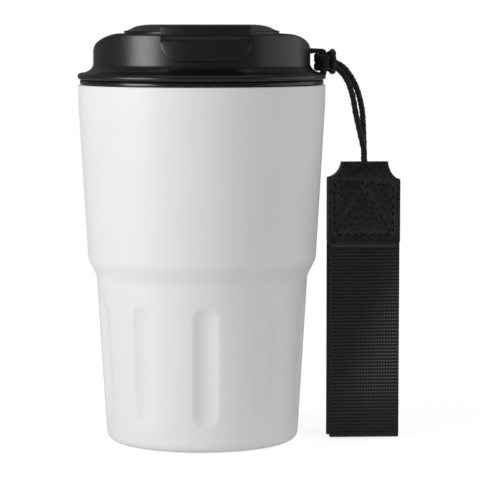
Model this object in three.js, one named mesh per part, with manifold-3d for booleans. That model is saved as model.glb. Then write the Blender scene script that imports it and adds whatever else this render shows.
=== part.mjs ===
// Insulated travel mug: a double-walled steel cup with a fluted grip, a screw lid with a flip cover,
// and a wrist lanyard tied to the lid's lug.
// Millimetres, +Z up, origin at the centre of the base pad's face.
// The thumb tab faces -Y, the cover's hinge is at +Y, and the lanyard hangs on the +X side.
import * as THREE from "three";
import { mergeVertices } from "three/addons/utils/BufferGeometryUtils.js";
import Module from "manifold-3d";

const wasm = await Module();
wasm.setup();

// ---------------------------------------------------------------- driving dimensions

const GAP = 0.3; // clearance between pieces that touch on the real mug
const TURNED_STEPS = 48; // sides of a turned piece
const FULL_TURN = 2 * Math.PI;

// Cup. Two cones of the same taper, joined by a shoulder.
const FOOT_Z = 0.6;
const FOOT_RADIUS = 34.4;
const FOOT_ROUND = 3.2;
const GRIP_TOP_Z = 58.4;
const GRIP_TOP_RADIUS = 37.65;
const SHOULDER_TOP_Z = 67;
const SHOULDER_TOP_RADIUS = 40.8;
const MOUTH_Z = 127.7;
const MOUTH_RADIUS = 44;
const SHELL_WALL = 0.8;
const LINER_WALL = 0.7;
const LINER_FLOOR_Z = 12;
const NECK_Z = 109.3;
const NECK_RADIUS = 39.4;
const LIP_RADIUS = 42.9;
const LIP_TOP_Z = 129.2;

// Flutes round the grip.
const FLUTE_COUNT = 10;
const FLUTE_WIDTH = 9;
const FLUTE_DEPTH = 1.2;
const FLUTE_BOTTOM_Z = 9.7;
const FLUTE_TOP_Z = 51.7;

// Lid. Its top is arched from side to side, so the wall is lower at +X and -X than at the front.
const FLANGE_Z = 129.5;
const FLANGE_RADIUS = 44.2;
const FLANGE_HEIGHT = 2.4;
const FLARE_RADIUS = 43.4;
const FLARE_WIDTH = 4.8;
const FLARE_HEIGHT = 3.4;
const LID_RADIUS = 38.6;
const LID_WALL = 2.2;
const LID_TOP_Z = 145.8;
const ROOF_WALL = 2;
const ARCH_CENTRE_X = 29;
const ARCH_CENTRE_Z = 140.5;
const ARCH_HALF_WIDTH = 9.6;
const ARCH_FULLNESS = 1.7;
const RECESS_RADIUS = 29.2;
const DECK_Z = 140.1;
const DECK_WALL = 2;

// Screw thread: two starts.
const THREAD_LEAD = 8;
const THREAD_STARTS = 2;
const THREAD_SPAN = THREE.MathUtils.degToRad(150);
const THREAD_THICKNESS = 1.3;
const INSERT_RADIUS = 37.4;
const INSERT_THREAD_Z = 113.5;
const INSERT_BOTTOM_Z = 108.3;

// Flip cover and its hinge.
const COVER_RADIUS = 27.8;
const COVER_EDGE_Z = 146.4;
const COVER_TOP_Z = 149;
const SKIRT_Z = 145.2;
const TAB_HALF_WIDTH = 15.4;
const TAB_BOTTOM_Z = 136.6;
const TAB_CORNER = 6;
const TAB_INNER_RADIUS = 39.2;
const TAB_OUTER_RADIUS = 41.2;
const HINGE_Y = 29;
const HINGE_Z = 144.5;
const HINGE_RADIUS = 2.3;
const PIN_RADIUS = 1;
const BARREL_HALF_LENGTH = 8.2;
const EAR_OUTER_X = 12.4;

// Drinking and vent holes.
const SPOUT_Y = -21;
const SPOUT_HALF_X = 6.5;
const SPOUT_HALF_Y = 3.5;
const VENT_Y = 6;
const VENT_RADIUS = 1.4;

// Lug and lanyard.
const LUG_HALF_WIDTH = 2.3;
const LUG_POST_X = 42.3;
const LUG_OUTER_X = 44.4;
const LUG_TOP_Z = 140.4;
const LUG_BAR = 1.5;
const CORD_DIAMETER = 2;
const STRAND_OFFSET_Y = 1.3;
const KNOT_INNER_X = 40.4;
const KNOT_OUTER_X = 47.3;
const KNOT_BOTTOM_Z = 133.1;
const STRAP_CENTRE_X = 57.5;
const STRAP_WIDTH = 24.8;
const STRAP_BOTTOM_Z = 0.2;
const STRAP_TOP_Z = 93.9;
const WEBBING = 1.2;
const STRAP_HALF_THICKNESS = 1.7;
const LEATHER_TOP_Z = 100.05;
const LEATHER_BOTTOM_Z = 69.7;
const LEATHER_HALF_THICKNESS = 2.9;

// ---------------------------------------------------------------- materials

const steelBright = material("brushed steel", 0xb9bbbd, 0.32, 1);
const steelDull = material("pressed steel", 0x8f9295, 0.5, 1);
const whiteCoat = material("white powder coat", 0xe9e9e8, 0.55, 0.05);
const blackPlastic = material("black moulded plastic", 0x1c1c1d, 0.5, 0);
const blackSilicone = material("black silicone", 0x222224, 0.75, 0);
const clearSilicone = material("grey silicone", 0x8d8f91, 0.7, 0);
const blackCord = material("black braided cord", 0x19191a, 0.85, 0);
const blackLeather = material("black leather", 0x1f2021, 0.6, 0);
const blackWebbing = material("black webbing", 0x262627, 0.8, 0);

function material(name, color, roughness, metalness) {
  return new THREE.MeshStandardMaterial({ name, color, roughness, metalness });
}

// ---------------------------------------------------------------- solids

// A closed three.js mesh as a solid that can be joined and cut.
function solid(geometry) {
  const loose = geometry.index ? geometry.toNonIndexed() : geometry.clone();
  loose.deleteAttribute("normal");
  loose.deleteAttribute("uv");
  const merged = mergeVertices(loose, 1e-4);
  const corners = merged.index.array;
  const kept = [];
  for (let i = 0; i < corners.length; i += 3) {
    const [a, b, c] = corners.slice(i, i + 3);
    if (a !== b && b !== c && c !== a) kept.push(a, b, c);
  }
  const vertProperties = merged.attributes.position.array;
  const triVerts = new Uint32Array(kept);
  return new wasm.Manifold(new wasm.Mesh({ numProp: 3, vertProperties, triVerts }));
}

// A solid as a three.js geometry with flat faces.
function geometryOf(shape) {
  const mesh = shape.getMesh();
  const geometry = new THREE.BufferGeometry();
  geometry.setAttribute("position", new THREE.BufferAttribute(mesh.vertProperties, 3));
  geometry.setIndex(new THREE.BufferAttribute(mesh.triVerts, 1));
  const flat = geometry.toNonIndexed();
  flat.computeVertexNormals();
  return flat;
}

// A closed outline of [radius, z] points, given anticlockwise, turned round the Z axis.
function turned(outline, steps = TURNED_STEPS) {
  const points = [...outline, outline[0]].map(([r, z]) => new THREE.Vector2(r, z));
  return solid(new THREE.LatheGeometry(points, steps).rotateX(Math.PI / 2));
}

// Points along an elliptical arc, angles in degrees from the first axis towards the second.
function arc(u, v, radiusU, radiusV, from, to, steps) {
  return Array.from({ length: steps + 1 }, (_, i) => {
    const angle = THREE.MathUtils.degToRad(from + ((to - from) * i) / steps);
    return [u + radiusU * Math.cos(angle), v + radiusV * Math.sin(angle)];
  });
}

function outlineShape(points) {
  return new THREE.Shape(points.map(([u, v]) => new THREE.Vector2(u, v)));
}

// An outline drawn in (y, z), pushed along X.
function extrudedX(shape, x0, x1) {
  const geometry = new THREE.ExtrudeGeometry(shape, { depth: x1 - x0, bevelEnabled: false });
  const toX = new THREE.Matrix4().makeBasis(
    new THREE.Vector3(0, 1, 0),
    new THREE.Vector3(0, 0, 1),
    new THREE.Vector3(1, 0, 0),
  );
  return solid(geometry.applyMatrix4(toX).translate(x0, 0, 0));
}

// An outline drawn in (x, z), pushed along Y.
function extrudedY(shape, y0, y1) {
  const geometry = new THREE.ExtrudeGeometry(shape, { depth: y1 - y0, bevelEnabled: false });
  return solid(geometry.rotateX(Math.PI / 2).translate(0, y1, 0));
}

// An outline drawn in (x, y), pushed along Z.
function extrudedZ(shape, z0, z1, curveSegments = 16) {
  const options = { depth: z1 - z0, bevelEnabled: false, curveSegments };
  return solid(new THREE.ExtrudeGeometry(shape, options).translate(0, 0, z0));
}

function block([x0, x1], [y0, y1], [z0, z1]) {
  const geometry = new THREE.BoxGeometry(x1 - x0, y1 - y0, z1 - z0);
  return solid(geometry.translate((x0 + x1) / 2, (y0 + y1) / 2, (z0 + z1) / 2));
}

function rodX(radius, x0, x1, y, z, steps = 20) {
  const geometry = new THREE.CylinderGeometry(radius, radius, x1 - x0, steps);
  return solid(geometry.rotateZ(Math.PI / 2).translate((x0 + x1) / 2, y, z));
}

function rodZ(radius, z0, z1, x, y, steps = 20) {
  const geometry = new THREE.CylinderGeometry(radius, radius, z1 - z0, steps);
  return solid(geometry.rotateX(Math.PI / 2).translate(x, y, (z0 + z1) / 2));
}

function ovalZ(halfX, halfY, z0, z1, y) {
  const oval = new THREE.Shape().absellipse(0, y, halfX, halfY, 0, FULL_TURN);
  return extrudedZ(oval, z0, z1, 24);
}

function join(first, ...others) {
  return others.reduce((whole, part) => whole.add(part), first);
}

function cut(first, ...others) {
  return others.reduce((whole, part) => whole.subtract(part), first);
}

// ---------------------------------------------------------------- assembly helpers

const mug = new THREE.Group();

function addPiece(group, name, shape, finish) {
  const mesh = new THREE.Mesh(geometryOf(shape), finish);
  mesh.name = name;
  group.add(mesh);
}

function addGroup(name) {
  const group = new THREE.Group();
  group.name = name;
  mug.add(group);
  return group;
}

// ---------------------------------------------------------------- cup

// Outer skin of the cup from foot to mouth, moved inwards by an inset.
function shellSkin(inset) {
  const footCentre = FOOT_RADIUS - FOOT_ROUND;
  const round = FOOT_ROUND - inset;
  const shoulderRise = SHOULDER_TOP_Z - GRIP_TOP_Z;
  const shoulder = [0, 0.3, 0.7, 1].map((t) => {
    const eased = t * t * (3 - 2 * t);
    const radius = THREE.MathUtils.lerp(GRIP_TOP_RADIUS, SHOULDER_TOP_RADIUS, eased);
    return [radius - inset, GRIP_TOP_Z + shoulderRise * t];
  });
  const mouthRound = 0.9 - inset * 0.5;
  return [
    ...arc(footCentre, FOOT_Z + FOOT_ROUND, round, round, -90, 0, 4),
    ...shoulder,
    [MOUTH_RADIUS - 0.1 - inset, 120.3],
    ...arc(MOUTH_RADIUS - inset - mouthRound, MOUTH_Z - inset - mouthRound, mouthRound, mouthRound, 0, 90, 2),
  ];
}

// Rods with round ends that press the flutes into the grip, leaning with its taper.
function fluteTools(swell) {
  const halfWidth = FLUTE_WIDTH / 2;
  const radius = (halfWidth ** 2 + FLUTE_DEPTH ** 2) / (2 * FLUTE_DEPTH);
  const middleZ = (FLUTE_BOTTOM_Z + FLUTE_TOP_Z) / 2;
  const taper = Math.atan((GRIP_TOP_RADIUS - FOOT_RADIUS) / (GRIP_TOP_Z - FOOT_Z - FOOT_ROUND));
  const wallRadius = GRIP_TOP_RADIUS - (GRIP_TOP_Z - middleZ) * Math.tan(taper);
  const straight = FLUTE_TOP_Z - FLUTE_BOTTOM_Z - FLUTE_WIDTH;
  const tools = [];
  for (let i = 0; i < FLUTE_COUNT; i++) {
    const rod = new THREE.CapsuleGeometry(radius + swell, straight, 5, 24);
    rod.rotateX(Math.PI / 2);
    rod.rotateY(taper);
    rod.translate(wallRadius + radius - FLUTE_DEPTH, 0, middleZ);
    rod.rotateZ((i / FLUTE_COUNT) * FULL_TURN - Math.PI / 2);
    tools.push(solid(rod));
  }
  return tools;
}

function outerShell() {
  const rim = LIP_RADIUS - 1.1;
  const footHole = FOOT_RADIUS - FOOT_ROUND - 0.8;
  const whole = turned([[footHole, FOOT_Z], ...shellSkin(0), [rim, MOUTH_Z]]);
  const hollow = turned([
    [0, FOOT_Z + SHELL_WALL],
    ...shellSkin(SHELL_WALL),
    [0, MOUTH_Z - SHELL_WALL],
  ]);
  const mouth = rodZ(rim, MOUTH_Z - 3, MOUTH_Z + 1, 0, 0, TURNED_STEPS);
  return cut(whole, ...fluteTools(0), cut(hollow, ...fluteTools(SHELL_WALL)), mouth);
}

function innerLiner() {
  const inner = [
    ...arc(25.2, LINER_FLOOR_Z + 4, 4, 4, -90, 0, 3),
    [32.9, GRIP_TOP_Z],
    [36.6, 69.3],
    [NECK_RADIUS, NECK_Z],
  ];
  const outer = inner.map(([r, z], i) => [r + (i ? LINER_WALL : 0), i < 3 ? z - LINER_WALL : z]);
  const cup = turned([
    [0, LINER_FLOOR_Z - LINER_WALL],
    ...outer,
    [NECK_RADIUS + LINER_WALL, MOUTH_Z + GAP],
    [LIP_RADIUS - 0.3, MOUTH_Z + GAP],
    [LIP_RADIUS, MOUTH_Z + 0.6],
    [LIP_RADIUS, LIP_TOP_Z - 0.4],
    [LIP_RADIUS - 0.4, LIP_TOP_Z],
    [NECK_RADIUS + 0.5, LIP_TOP_Z],
    [NECK_RADIUS, LIP_TOP_Z - 0.5],
    ...inner.reverse(),
    [0, LINER_FLOOR_Z],
  ]);
  // The liner's ridges lie half a pitch above the insert's, a quarter turn further round.
  const pitch = THREAD_LEAD / THREAD_STARTS;
  const startZ = INSERT_THREAD_Z + pitch / 2 + THREAD_LEAD / 4;
  return join(cup, ...threadRidges(NECK_RADIUS, -1.4, 0.4, Math.PI / 2, startZ));
}

// Helical ridges of a two-start thread on a wall of this radius, from one radial offset to another.
function threadRidges(wallRadius, tip, root, startAngle, startZ) {
  const tipHalf = THREAD_THICKNESS / 2 - 0.25;
  const rootHalf = THREAD_THICKNESS / 2 + 0.1;
  const corners = [[-rootHalf, root], [rootHalf, root], [tipHalf, tip], [-tipHalf, tip]];
  const section = outlineShape(corners);
  const ridges = [];
  for (let start = 0; start < THREAD_STARTS; start++) {
    const ridge = new THREE.ExtrudeGeometry(section, {
      depth: THREAD_SPAN,
      steps: 16,
      bevelEnabled: false,
    });
    const place = ridge.attributes.position;
    for (let i = 0; i < place.count; i++) {
      const along = place.getZ(i);
      const angle = startAngle + (start / THREAD_STARTS) * FULL_TURN + along;
      const radius = wallRadius + place.getY(i);
      const z = startZ + place.getX(i) + (THREAD_LEAD * along) / FULL_TURN;
      place.setXYZ(i, radius * Math.cos(angle), radius * Math.sin(angle), z);
    }
    ridges.push(solid(ridge));
  }
  return ridges;
}

function shellBasePlate() {
  return turned([
    [1, 7],
    [5.5, 7],
    [7, 5],
    [33.2, 5],
    [33.2, 5.8],
    [7.6, 5.8],
    [6.1, 7.8],
    [1, 7.8],
  ]);
}

function baseCap() {
  const rim = FOOT_RADIUS - FOOT_ROUND - 0.8 - GAP;
  return turned([
    [0, 1.2],
    [rim - 2, 1.2],
    [rim - 1.4, FOOT_Z],
    [rim, FOOT_Z],
    [rim, 4],
    [rim - 0.8, 4],
    [rim - 0.8, 2],
    [0, 2],
  ]);
}

function basePad() {
  return turned([[0, 0], [26.7, 0], [27.2, 0.4], [27.2, 0.9], [0, 0.9]]);
}

function getterBracket() {
  const hat = [
    [-9, 11], [-9, 10.6], [-5.2, 10.6], [-5.2, 7.4], [5.2, 7.4],
    [5.2, 10.6], [9, 10.6], [9, 11], [4.8, 11], [4.8, 7.8], [-4.8, 7.8], [-4.8, 11],
  ];
  return extrudedX(outlineShape(hat.reverse()), 11, 16);
}

// Bead that closes the base plate's evacuation hole.
function sealBead() {
  return turned([[0, 5.2], [2, 5.5], [2.8, 6.2], [2.4, 6.7], [0, 6.7]], 20);
}

const cup = addGroup("cup");
addPiece(cup, "outer_shell", outerShell(), whiteCoat);
addPiece(cup, "inner_liner", innerLiner(), steelBright);
addPiece(cup, "shell_base_plate", shellBasePlate(), steelDull);
addPiece(cup, "getter_capsule", rodZ(4.2, 8.2, 10.7, 13.5, 0), steelDull);
addPiece(cup, "getter_bracket", getterBracket(), steelDull);
addPiece(cup, "vacuum_seal_bead", sealBead(), steelDull);
addPiece(cup, "base_cap", baseCap(), whiteCoat);
addPiece(cup, "base_pad", basePad(), blackSilicone);

// ---------------------------------------------------------------- lid

// The room under the lid's arched top, moved inwards by an inset and as wide as its skirt lower down.
function underArch(inset, skirt) {
  const rise = LID_TOP_Z - ARCH_CENTRE_Z - inset;
  const right = [0, 0.35, 0.6, 0.78, 0.9, 0.97, 1].map((t) => {
    const across = (1 - t ** ARCH_FULLNESS) ** (1 / ARCH_FULLNESS);
    return [ARCH_CENTRE_X + (ARCH_HALF_WIDTH - inset) * across, ARCH_CENTRE_Z + rise * t];
  });
  const half = [[skirt, FLANGE_Z - 2], [skirt, ARCH_CENTRE_Z], ...right];
  const otherHalf = half.map(([x, z]) => [-x, z]).reverse();
  return extrudedY(outlineShape([...half, ...otherHalf]), -skirt, skirt);
}

function hingeNotch(z0) {
  return block([-EAR_OUTER_X - 0.8, EAR_OUTER_X + 0.8], [23, 33], [z0, LID_TOP_Z + 1]);
}

function lug() {
  const foot = FLANGE_Z + 1.6;
  const round = arc(LUG_OUTER_X - 1.6, LUG_TOP_Z - 1.6, 1.6, 1.6, 0, 90, 4);
  const inner = arc(LUG_POST_X - 0.8, LUG_TOP_Z - LUG_BAR - 0.8, 0.8, 0.8, 90, 0, 3);
  const wall = LID_RADIUS - 1;
  const points = [
    [LUG_POST_X, foot],
    [LUG_OUTER_X, foot],
    ...round,
    [wall, LUG_TOP_Z],
    [wall, LUG_TOP_Z - LUG_BAR],
    ...inner,
  ];
  return extrudedY(outlineShape(points), -LUG_HALF_WIDTH, LUG_HALF_WIDTH);
}

function lidShell() {
  const half = FLANGE_HEIGHT / 2;
  const bore = LID_RADIUS - LID_WALL;
  const wall = turned([
    [bore, FLANGE_Z],
    [FLANGE_RADIUS - 1.2, FLANGE_Z],
    ...arc(FLANGE_RADIUS - 1.2, FLANGE_Z + half, 1.2, half, -60, 60, 4),
    [FLANGE_RADIUS - 1.2, FLANGE_Z + FLANGE_HEIGHT],
    ...arc(FLARE_RADIUS, FLANGE_Z + FLANGE_HEIGHT + FLARE_HEIGHT, FLARE_WIDTH, FLARE_HEIGHT, -90, -180, 4),
    [LID_RADIUS, LID_TOP_Z],
    [bore, LID_TOP_Z],
  ]);
  const roof = rodZ(bore + 0.5, FLANGE_Z + 5, LID_TOP_Z, 0, 0, TURNED_STEPS);
  const arched = join(wall, roof).intersect(underArch(0, 50));
  const inside = rodZ(bore, FLANGE_Z - 1, LID_TOP_Z, 0, 0, TURNED_STEPS);
  const hollow = inside.intersect(underArch(ROOF_WALL, bore + 0.2));
  const recess = rodZ(RECESS_RADIUS, LID_TOP_Z - 4, LID_TOP_Z + 1, 0, 0, TURNED_STEPS);
  return cut(join(arched, lug()), hollow, recess, hingeNotch(LID_TOP_Z - 4));
}

function lidDeck() {
  const under = DECK_Z - DECK_WALL;
  const outer = LID_RADIUS - LID_WALL - GAP;
  const upstand = RECESS_RADIUS + 0.4;
  const collarTop = LID_TOP_Z - ROOF_WALL - GAP;
  const plate = turned([
    [0, under],
    [outer, under],
    [outer, DECK_Z],
    [upstand + 1.6, DECK_Z],
    [upstand + 1.6, collarTop],
    [upstand, collarTop],
    [upstand, DECK_Z],
    [0, DECK_Z],
  ]);
  const ears = [-1, 1].map((side) => {
    const inner = BARREL_HALF_LENGTH + 0.4;
    const [x0, x1] = side > 0 ? [inner, EAR_OUTER_X] : [-EAR_OUTER_X, -inner];
    const web = block([x0, x1], [HINGE_Y - HINGE_RADIUS, HINGE_Y + HINGE_RADIUS], [DECK_Z - 0.5, HINGE_Z]);
    return join(web, rodX(HINGE_RADIUS, x0, x1, HINGE_Y, HINGE_Z));
  });
  const pinHole = rodX(PIN_RADIUS + GAP, -EAR_OUTER_X + 1, EAR_OUTER_X - 1, HINGE_Y, HINGE_Z);
  const spout = ovalZ(SPOUT_HALF_X, SPOUT_HALF_Y, under - 1, DECK_Z + 1, SPOUT_Y);
  const vent = rodZ(VENT_RADIUS, under - 1, DECK_Z + 1, 0, VENT_Y);
  return cut(join(cut(plate, hingeNotch(DECK_Z)), ...ears), pinHole, spout, vent);
}

function lidInsert() {
  const floor = INSERT_BOTTOM_Z + 2;
  const neck = LID_RADIUS - LID_WALL - GAP;
  const topZ = DECK_Z - DECK_WALL - GAP;
  const groove = INSERT_RADIUS - 1;
  const body = turned([
    [0, INSERT_BOTTOM_Z],
    [INSERT_RADIUS - 2.6, INSERT_BOTTOM_Z],
    [INSERT_RADIUS, INSERT_BOTTOM_Z + 3],
    [INSERT_RADIUS, 123],
    [groove, 123],
    [groove, FLANGE_Z - GAP],
    [neck, FLANGE_Z - GAP],
    [neck, topZ],
    [neck - 1.8, topZ],
    [neck - 1.8, floor + 2.4],
    [neck - 4, floor],
    [0, floor],
  ]);
  const spoutTube = ovalZ(SPOUT_HALF_X + 1.5, SPOUT_HALF_Y + 1.5, floor - 0.5, topZ, SPOUT_Y);
  const ventTube = rodZ(VENT_RADIUS + 1.3, floor - 0.5, topZ, 0, VENT_Y);
  const spout = ovalZ(SPOUT_HALF_X, SPOUT_HALF_Y, INSERT_BOTTOM_Z - 1, topZ + 1, SPOUT_Y);
  const vent = rodZ(VENT_RADIUS, INSERT_BOTTOM_Z - 1, topZ + 1, 0, VENT_Y);
  const ridges = threadRidges(INSERT_RADIUS, 1.3, -0.4, 0, INSERT_THREAD_Z);
  return cut(join(body, spoutTube, ventTube, ...ridges), spout, vent);
}

function lidGasket() {
  const inner = INSERT_RADIUS - 1 + GAP;
  const outer = NECK_RADIUS - GAP;
  return turned([
    [inner, 123.6],
    [outer - 0.8, 123.6],
    [outer, 124.5],
    [outer - 0.9, 125.7],
    [outer - 0.9, 126.3],
    [outer, 127.5],
    [outer - 0.8, 128.4],
    [inner, 128.4],
  ]);
}

// The hitch of cord round the lug's post, as a collar.
function cordKnot() {
  const middle = (KNOT_INNER_X + KNOT_OUTER_X) / 2;
  const half = (KNOT_OUTER_X - KNOT_INNER_X) / 2;
  const collar = new THREE.Shape(
    arc(middle, 0, half, 3.9, 0, 330, 11).map(([x, y]) => new THREE.Vector2(x, y)),
  );
  const post = [LUG_POST_X - GAP, LUG_OUTER_X + GAP];
  const side = LUG_HALF_WIDTH + GAP;
  const hole = block(post, [-side, side], [100, 200]);
  return cut(extrudedZ(collar, KNOT_BOTTOM_Z, LUG_TOP_Z - LUG_BAR - 2 * GAP), hole);
}

const lidSeal = addGroup("lid_seal");
addPiece(lidSeal, "lid_gasket", lidGasket(), clearSilicone);

const lid = addGroup("lid");
addPiece(lid, "lid_shell", lidShell(), blackPlastic);
addPiece(lid, "lid_deck", lidDeck(), blackPlastic);
addPiece(lid, "lid_insert", lidInsert(), blackPlastic);
addPiece(lid, "hinge_pin", rodX(PIN_RADIUS, 1.3 - EAR_OUTER_X, EAR_OUTER_X - 1.3, HINGE_Y, HINGE_Z), steelBright);
addPiece(lid, "cord_knot", cordKnot(), blackCord);

// ---------------------------------------------------------------- flip cover

function flipCover() {
  const dome = turned([
    [0, COVER_EDGE_Z],
    [COVER_RADIUS - 0.3, COVER_EDGE_Z],
    [COVER_RADIUS, COVER_EDGE_Z + 0.2],
    [26.1, 147.05],
    [24.8, 147.75],
    [23.3, 148.4],
    [20.8, 148.85],
    [18.7, COVER_TOP_Z],
    [0, COVER_TOP_Z],
  ]);
  const pocket = rodZ(23.6, COVER_EDGE_Z - 1, COVER_TOP_Z - 1.5, 0, 0, TURNED_STEPS);
  const skirt = turned([
    [COVER_RADIUS - 1.6, SKIRT_Z],
    [COVER_RADIUS - 0.2, SKIRT_Z],
    [COVER_RADIUS - 0.2, COVER_EDGE_Z + 0.2],
    [COVER_RADIUS - 1.6, COVER_EDGE_Z + 0.2],
  ]);
  const tabRing = turned([
    [17, COVER_EDGE_Z + 0.1],
    [TAB_INNER_RADIUS - 0.6, COVER_EDGE_Z + 0.1],
    [TAB_INNER_RADIUS, COVER_EDGE_Z - 0.5],
    [TAB_INNER_RADIUS, TAB_BOTTOM_Z],
    [TAB_OUTER_RADIUS, TAB_BOTTOM_Z],
    [TAB_OUTER_RADIUS, 143.5],
    [39.8, 145.3],
    [39.8, COVER_TOP_Z - 0.8],
    [39, COVER_TOP_Z],
    [17, COVER_TOP_Z],
  ]);
  const corner = TAB_HALF_WIDTH - TAB_CORNER;
  const low = TAB_BOTTOM_Z + TAB_CORNER;
  const front = outlineShape([
    ...arc(-corner, low, TAB_CORNER, TAB_CORNER, 180, 270, 5),
    ...arc(corner, low, TAB_CORNER, TAB_CORNER, 270, 360, 5),
    [TAB_HALF_WIDTH, 152],
    [-TAB_HALF_WIDTH, 152],
  ]);
  const tab = tabRing.intersect(extrudedY(front, -50, -12));
  const barrel = rodX(HINGE_RADIUS, -BARREL_HALF_LENGTH, BARREL_HALF_LENGTH, HINGE_Y, HINGE_Z);
  const web = block([-BARREL_HALF_LENGTH, BARREL_HALF_LENGTH], [24, HINGE_Y], [146.1, 146.8]);
  const pinHole = rodX(PIN_RADIUS + GAP, -BARREL_HALF_LENGTH - 1, BARREL_HALF_LENGTH + 1, HINGE_Y, HINGE_Z);
  return cut(join(dome, cut(skirt, hingeNotch(SKIRT_Z - 1)), tab, barrel, web), pocket, pinHole);
}

function coverLiner() {
  const plateTop = 145.8;
  return turned([
    [0, 144.2],
    [25.2, 144.2],
    [25.8, 144.7],
    [25.8, plateTop],
    [23.2, plateTop],
    [23.2, 147],
    [21.4, 147],
    [21.4, plateTop],
    [0, plateTop],
  ]);
}

function stopper(halfX, halfY, y, lift) {
  const head = ovalZ(halfX + 1.6, halfY + 1.6, DECK_Z + lift, 143.9, y);
  const plug = ovalZ(halfX - 0.6, halfY - 0.6, DECK_Z - 1.4, DECK_Z + lift + 0.5, y);
  return join(head, plug);
}

const cover = addGroup("flip_cover");
addPiece(cover, "flip_cover", flipCover(), blackPlastic);
addPiece(cover, "cover_liner", coverLiner(), blackPlastic);
addPiece(cover, "spout_stopper", stopper(SPOUT_HALF_X, SPOUT_HALF_Y, SPOUT_Y, 0.5), blackSilicone);
addPiece(cover, "vent_stopper", stopper(VENT_RADIUS, VENT_RADIUS, VENT_Y, 0.5), blackSilicone);

// ---------------------------------------------------------------- lanyard

// The two strands from the hitch to the leather tab, as [x, z] points.
const BACK_STRAND = [
  [48.2, 135.3], [50, 134.3], [51.8, 132.6], [53.7, 129.9], [55.1, 127.2], [56.2, 124.1],
  [57.1, 120.5], [57.6, 117.3], [57.9, 112.8], [58.1, 107.8], [58.2, 103.8], [58.2, 100.4],
];
const FRONT_STRAND = [
  [48.2, 133.4], [49.9, 131.9], [51.3, 130], [52.5, 127.7], [53.3, 125.3], [54, 122.7],
  [54.8, 118.2], [55.4, 115.3], [56.4, 110.9], [57.2, 107.5], [57.9, 104.1], [58.1, 100.4],
];

function strand(route, y) {
  const path = new THREE.CatmullRomCurve3(route.map(([x, z]) => new THREE.Vector3(x, y, z)));
  const circle = new THREE.Shape().absarc(0, 0, CORD_DIAMETER / 2, 0, FULL_TURN);
  const round = new THREE.Shape(circle.getPoints(8).slice(0, 8));
  return solid(new THREE.ExtrudeGeometry(round, { steps: 18, extrudePath: path, bevelEnabled: false }));
}

// Webbing folded into a flat loop, its two ends side by side at the top.
function strapWebbing() {
  const outer = STRAP_HALF_THICKNESS;
  const inner = outer - WEBBING;
  const turnZ = STRAP_BOTTOM_Z + outer;
  const side = outlineShape([
    ...arc(0, turnZ, outer, outer, 180, 360, 8),
    [outer, STRAP_TOP_Z],
    [inner, STRAP_TOP_Z],
    ...arc(0, turnZ, inner, inner, 360, 180, 6),
    [-inner, STRAP_TOP_Z],
    [-outer, STRAP_TOP_Z],
  ]);
  return extrudedX(side, STRAP_CENTRE_X - STRAP_WIDTH / 2, STRAP_CENTRE_X + STRAP_WIDTH / 2);
}

// One piece of leather folded over the cord's bight and sewn through the webbing's ends.
function leatherTab() {
  const outline = new THREE.Shape();
  outline.moveTo(46.2, LEATHER_BOTTOM_Z);
  outline.lineTo(69, LEATHER_BOTTOM_Z);
  outline.quadraticCurveTo(71, LEATHER_BOTTOM_Z, 71, LEATHER_BOTTOM_Z + 2.2);
  outline.lineTo(71, 92.3);
  outline.quadraticCurveTo(67.2, 93.9, 66.9, LEATHER_TOP_Z - 0.6);
  outline.lineTo(66.3, LEATHER_TOP_Z);
  outline.lineTo(50.2, LEATHER_TOP_Z);
  outline.lineTo(49.6, LEATHER_TOP_Z - 0.6);
  outline.quadraticCurveTo(49, 94.7, 45, 93.5);
  outline.lineTo(44.9, LEATHER_BOTTOM_Z + 1.4);
  outline.quadraticCurveTo(44.9, LEATHER_BOTTOM_Z, 46.2, LEATHER_BOTTOM_Z);
  const whole = extrudedY(outline, -LEATHER_HALF_THICKNESS, LEATHER_HALF_THICKNESS);
  const room = STRAP_HALF_THICKNESS + GAP;
  const pocket = block([40, 80], [-room, room], [LEATHER_BOTTOM_Z - 1, STRAP_TOP_Z + 0.6]);
  const cordMouth = block([55.2, 61.2], [-5, 5], [LEATHER_TOP_Z - 4, LEATHER_TOP_Z + 1]);
  return cut(whole, pocket, cordMouth);
}

const cord = addGroup("lanyard_cord");
addPiece(cord, "cord_strand_front", strand(FRONT_STRAND, -STRAND_OFFSET_Y), blackCord);
addPiece(cord, "cord_strand_back", strand(BACK_STRAND, STRAND_OFFSET_Y), blackCord);

const strap = addGroup("strap");
addPiece(strap, "leather_tab", leatherTab(), blackLeather);
addPiece(strap, "strap_webbing", strapWebbing(), blackWebbing);

export default mug;
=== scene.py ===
import math

import bmesh
import bpy
from bpy.props import FloatProperty, FloatVectorProperty, IntProperty, PointerProperty
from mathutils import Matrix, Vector


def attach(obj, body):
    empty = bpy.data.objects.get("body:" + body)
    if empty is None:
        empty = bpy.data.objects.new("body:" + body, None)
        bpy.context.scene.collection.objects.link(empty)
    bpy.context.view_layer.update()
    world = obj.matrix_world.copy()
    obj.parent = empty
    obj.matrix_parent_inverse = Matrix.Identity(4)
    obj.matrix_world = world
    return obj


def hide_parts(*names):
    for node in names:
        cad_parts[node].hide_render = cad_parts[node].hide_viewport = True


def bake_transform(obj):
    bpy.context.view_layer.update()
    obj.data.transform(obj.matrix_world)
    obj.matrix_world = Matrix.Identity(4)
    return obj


bl_info = {
    "name": "Insulated Travel Mug",
    "version": (1, 0, 0),
    "blender": (4, 5, 0),
    "location": "3D View > Sidebar > Travel Mug",
    "description": "Builds a fluted steel travel mug with a screw lid, a flip cover and a corded wrist strap",
    "category": "Add Mesh",
}

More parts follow.
